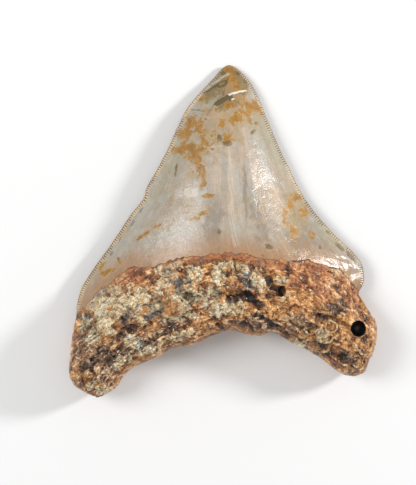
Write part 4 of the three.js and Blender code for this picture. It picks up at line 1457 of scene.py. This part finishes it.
# %% The root's colour
crest = fact("crest")
pore = fact("pore")
furrow = fact("furrow")
flow = fact("flow", "Vector")
strand_place = paint.vector_sum("MULTIPLY", flow, (0.28 * MM, MM, MM))
strand_place = paint.vector_sum("ADD", strand_place, paint.scaled(tremble, 0.8))
strands = paint.noise(strand_place, 0.9, 4.0, 0.65, 0.6)
swirl = paint.noise(spot, 2.8, 2.5, 0.55, 0.9)
small = paint.noise(spot, 1.5, 2.0, 0.55, 0.8)
flecks = paint.noise(spot, 0.5, 2.0, 0.6, 0.8)
broad = paint.noise(spot, 6.0, 3.0, 0.6, 1.0)
lean = paint.sum("MULTIPLY", paint.centred(strands), fact("umber"))
LEVEL_PARTS = [  # what moves the level, from which middle value, and how much
    (swirl, 0.5, 1.0),
    (small, 0.5, 0.5),
    (strands, 0.5, 1.1),
    (lean, 0.0, 1.8),  # on umber ground the strands lead
    (flecks, 0.5, 0.5),
    (broad, 0.5, 0.6),
    (crest, 0.5, 0.3),
    (fact("hollow"), 0.1, -0.08),
    (fact("cavity"), 0.1, -0.2),
    (pore, 0.1, -0.25),
    (fact("plate"), 0.3, 0.1),
]
level = 0.5
for part, middle, amount in LEVEL_PARTS:
    level = paint.sum("MULTIPLY_ADD", paint.sum("SUBTRACT", part, middle), amount, level)


def graded(kind):
    node = paint.add("ShaderNodeValToRGB", {"Fac": level})
    stops = node.color_ramp.elements
    while len(stops) < len(GRADE_STEPS):
        stops.new(0.5)
    for stop, place, code in zip(stops, GRADE_STEPS, ROOT_GRADES[kind]):
        stop.position = place
        stop.color = linear(code)
    return node.outputs[0]


def covered(ground, kind, size, strength):
    share = ragged(fact(kind), size, 1.8, soft=0.12, bend=0.9, detail=3.0)
    return laid(ground, graded(kind), share, strength)


root = graded("brown")
STAINS = {"rust": 0.65, "amber": 0.8, "umber": 0.85, "olive": 0.9, "slate": 0.8}  # strength of each
for kind, strength in STAINS.items():
    root = covered(root, kind, 1.4, strength)
pale_field = paint.sum("MULTIPLY_ADD", paint.centred(small), 1.2, fact("plate"))
root = mixed(paint.ramp(pale_field, 0.4, 0.56, 0.0, 0.95), root, graded("pale"))
slate_vein = paint.ramp(paint.noise(spot, 2.2, 2.0, 0.5, 1.4), 0.6, 0.64, 0.0, 0.7)
root = laid(root, graded("slate"), slate_vein, fact("plate"))
dark_field = paint.sum("MULTIPLY_ADD", paint.centred(small), -1.2, fact("hollow"))
root = mixed(paint.ramp(dark_field, 0.45, 0.8, 0.0, 0.7), root, graded("dark"))
# darker in the winding furrows
root = laid(root, "dirt", paint.ramp(furrow, 0.3, 0.9), 0.6)
root = laid(root, "slate_line", thread(2.2, 0.045, 1.6), fact("plate"), 0.85)
root = laid(root, "dirt", thread(3.0, 0.02, 1.0), paint.ramp(broad, 0.4, 0.6, 0.2, 0.8))
# pale flecks that are partly mineral grains and partly painted glints
grains_and_glints = paint.ramp(paint.noise(spot, 1.0, 1.0), 0.69, 0.75, 0.0, 0.8)
root = mixed(grains_and_glints, root, "pale_grain_and_glint")
band_reach = paint.sum("MULTIPLY_ADD", paint.centred(swirl), 4.0, below)
band_reach = paint.sum("MULTIPLY_ADD", paint.centred(cloud), 9.0, band_reach)
in_band = paint.sum("MINIMUM", paint.ramp(x, -13 * MM, -9 * MM), paint.ramp(x, 16 * MM, 11 * MM))
band_share = paint.ramp(in_band, 0.0, 1.0, 0.3, 0.85)
band = paint.sum("MULTIPLY", paint.ramp(band_reach, 1.3, 1.8, 1.0, 0.0), band_share)
off_foot = paint.sum("ABSOLUTE", paint.sum("SUBTRACT", band_reach, 1.9))
band_foot = paint.ramp(off_foot, 0.05, 0.4, 0.8, 0.0)
root = laid(root, "dirt", band_foot, band_share)
band_tone = mixed(paint.ramp(broad, 0.46, 0.6), "band", "band_shade")
root = mixed(band, root, dimmed(band_tone, paint.ramp(small, 0.3, 0.7, 0.75, 1.25)))
bored = paint.ramp(fact("bored"), 0.1, 0.5)
root = mixed(bored, root, "hole")
print("root painted")

# %% [markdown]
# Enamel and root meet in a ragged line with a thin dark crack. The enamel is polished and shows fine
# lines in its gloss, and the root is rough with wet-looking glints, so roughness and bump change with the
# same mask as the colour.

# %% Joining both and shading them
MINERAL_IOR = 1.55
border_noise = paint.centred(paint.noise(spot, 0.9, 3.0, 0.6, 0.8))
border_place = paint.sum("MULTIPLY_ADD", border_noise, 1.2, below)
is_root = paint.ramp(border_place, -0.08, 0.14)
border_gap = paint.sum("ABSOLUTE", paint.sum("SUBTRACT", border_place, 0.1))
border_line = paint.ramp(border_gap, 0.05, 0.3, 0.8, 0.0)
colour = mixed(is_root, enamel, root)
colour = laid(colour, "dirt", border_line, paint.ramp(cloud, 0.4, 0.55, 0.1, 1.0))
stain_rough = paint.sum("MULTIPLY", halo, 0.16)
enamel_rough = paint.sum("ADD", paint.ramp(stripes, 0.65, 1.05, 0.14, 0.26), stain_rough)
root_rough = paint.ramp(small, 0.3, 0.7, 0.26, 0.56)
root_rough = paint.sum("MULTIPLY", root_rough, paint.sum("MULTIPLY_ADD", bored, -0.4, 1.0))
gap = paint.sum("SUBTRACT", root_rough, enamel_rough)
roughness = paint.sum("MULTIPLY_ADD", gap, is_root, enamel_rough)
enamel_lines = paint.sum("MULTIPLY", streaks, 0.05)
enamel_lines = paint.sum("MULTIPLY_ADD", mottle, 0.23, enamel_lines)
enamel_lines = paint.sum("MULTIPLY_ADD", speckle, 0.04, enamel_lines)
root_grain = paint.sum("MULTIPLY_ADD", small, 1.1, paint.sum("MULTIPLY", flecks, 0.16))
root_grain = paint.sum("MULTIPLY_ADD", strands, 0.5, root_grain)
root_grain = paint.sum("MULTIPLY", root_grain, paint.sum("SUBTRACT", 1.0, bored))
bump_gap = paint.sum("SUBTRACT", root_grain, enamel_lines)
bump_height = paint.sum("MULTIPLY_ADD", bump_gap, is_root, enamel_lines)
bump = paint.add("ShaderNodeBump", {"Height": bump_height, "Distance": 0.6 * MM, "Strength": 1.0})
values = {"Base Color": colour, "Roughness": roughness, "Normal": bump.outputs[0]}
shader = paint.add("ShaderNodeBsdfPrincipled", values)
shader.inputs["IOR"].default_value = MINERAL_IOR
paint.add("ShaderNodeOutputMaterial", {"Surface": shader.outputs[0]})
print("material with", len(finish.node_tree.nodes), "nodes")

# %% [markdown]
# The worm tubes are cream lime with fine growth rings. The stored length along each tube drives the rings,
# and noise dirties the tubes with the brown of the root. The same helpers serve, once the names paint and
# spot stand for the second material.

# %% The lime of the worm tubes
GROWTH_RING = 0.45 * MM
lime.use_nodes = True
lime.node_tree.nodes.clear()
paint = Tree(lime.node_tree)
spot = paint.add("ShaderNodeTexCoord").outputs["Object"]
grime = paint.ramp(paint.noise(spot, 0.9, 4.0, 0.65, 0.8), 0.42, 0.62)
rings = paint.sum("SINE", paint.sum("MULTIPLY", fact("along"), 2 * math.pi / GROWTH_RING))
lime_tone = dimmed(mixed(grime, "lime", "lime_grime"), paint.ramp(rings, -1.0, 1.0, 0.86, 1.05))
ring_bump = paint.add("ShaderNodeBump", {"Height": rings, "Distance": 0.06 * MM, "Strength": 0.8})
lime_rough = paint.ramp(grime, 0.0, 1.0, 0.34, 0.6)
values = {"Base Color": lime_tone, "Roughness": lime_rough, "Normal": ring_bump.outputs[0]}
shader = paint.add("ShaderNodeBsdfPrincipled", values)
shader.inputs["IOR"].default_value = MINERAL_IOR
paint.add("ShaderNodeOutputMaterial", {"Surface": shader.outputs[0]})
print("lime with", len(lime.node_tree.nodes), "nodes")

# %% [markdown]
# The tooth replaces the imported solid, and both pieces ride on its only body.

# %% Handing the piece over
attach(tooth, "root")
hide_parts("tooth")
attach(worms, "root")
print("tooth:", sum(len(p.vertices) - 2 for p in tooth.data.polygons), "triangles")

# %% [markdown]
# A pale floor, a wide pale sky and two soft lamps are all the studio there is. The right-hand lamp stands
# low, so that its reflection lands on the blade's right slope, and the left one only fills.

# %% Floor, lights and camera
FLOOR_HALF_WIDTH = 1.5
FLOOR_SHADE = 0.86
FLOOR_ROUGHNESS = 0.9
SKY_STRENGTH = 0.5
LAMPS = [  # name, place, width, power
    ("right_lamp", (0.66, 0.2, 0.36), 0.12, 4.2),
    ("left_lamp", (-0.5, 0.1, 0.6), 0.4, 2.9),
]


def plain_finish(name, shade, rough):
    material = bpy.data.materials.new(name)
    material.use_nodes = True
    surface = material.node_tree.nodes["Principled BSDF"]
    surface.inputs["Base Color"].default_value = (shade, shade, shade, 1)
    surface.inputs["Roughness"].default_value = rough
    return material


def soft_lamp(name, place, width, power):
    lamp = bpy.data.lights.new(name, "AREA")
    lamp.shape = "DISK"
    lamp.size = width
    lamp.energy = power
    holder = bpy.data.objects.new(name, lamp)
    holder.location = place
    holder.rotation_euler = (-Vector(place)).to_track_quat("-Z", "Y").to_euler()
    bpy.context.scene.collection.objects.link(holder)


floor_shape = bmesh.new()
bmesh.ops.create_grid(floor_shape, x_segments=1, y_segments=1, size=FLOOR_HALF_WIDTH)
floor_mesh = bpy.data.meshes.new("pale_floor")
floor_shape.to_mesh(floor_mesh)
floor_shape.free()
floor = bpy.data.objects.new("pale_floor", floor_mesh)
floor_mesh.materials.append(plain_finish("pale_floor", FLOOR_SHADE, FLOOR_ROUGHNESS))
bpy.context.scene.collection.objects.link(floor)
floor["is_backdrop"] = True

for lamp in LAMPS:
    soft_lamp(*lamp)
world = bpy.data.worlds.new("pale_sky")
world.use_nodes = True
world.node_tree.nodes["Background"].inputs["Color"].default_value = (1, 1, 1, 1)
world.node_tree.nodes["Background"].inputs["Strength"].default_value = SKY_STRENGTH
bpy.context.scene.world = world
bpy.context.scene.view_settings.view_transform = "Standard"

SENSOR = 36.0
eye = bpy.data.cameras.new("overhead_camera")
eye.sensor_width = SENSOR
eye.lens = SENSOR * (CAMERA_HEIGHT - RIM_LEVEL) / (FRAME_PIXELS[1] * MM_PER_PIXEL)
camera = bpy.data.objects.new("overhead_camera", eye)
camera.location = (CAMERA_X * MM, CAMERA_Y * MM, CAMERA_HEIGHT * MM)
bpy.context.scene.collection.objects.link(camera)
bpy.context.scene.camera = camera
print("camera lens", round(eye.lens, 1), "mm")

# %% [markdown]
# Last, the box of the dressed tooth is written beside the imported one, to compare their sizes.

# %% Sizes and the end
boxes = {"cad": cad_box, "visual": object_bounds()}
sizes = {name: [[float(v) for v in corner] for corner in box] for name, box in boxes.items()}
spans = {name: (np.array(high) - low) / MM for name, (low, high) in sizes.items()}
print("sizes in mm:", {name: span.round(2).tolist() for name, span in spans.items()})
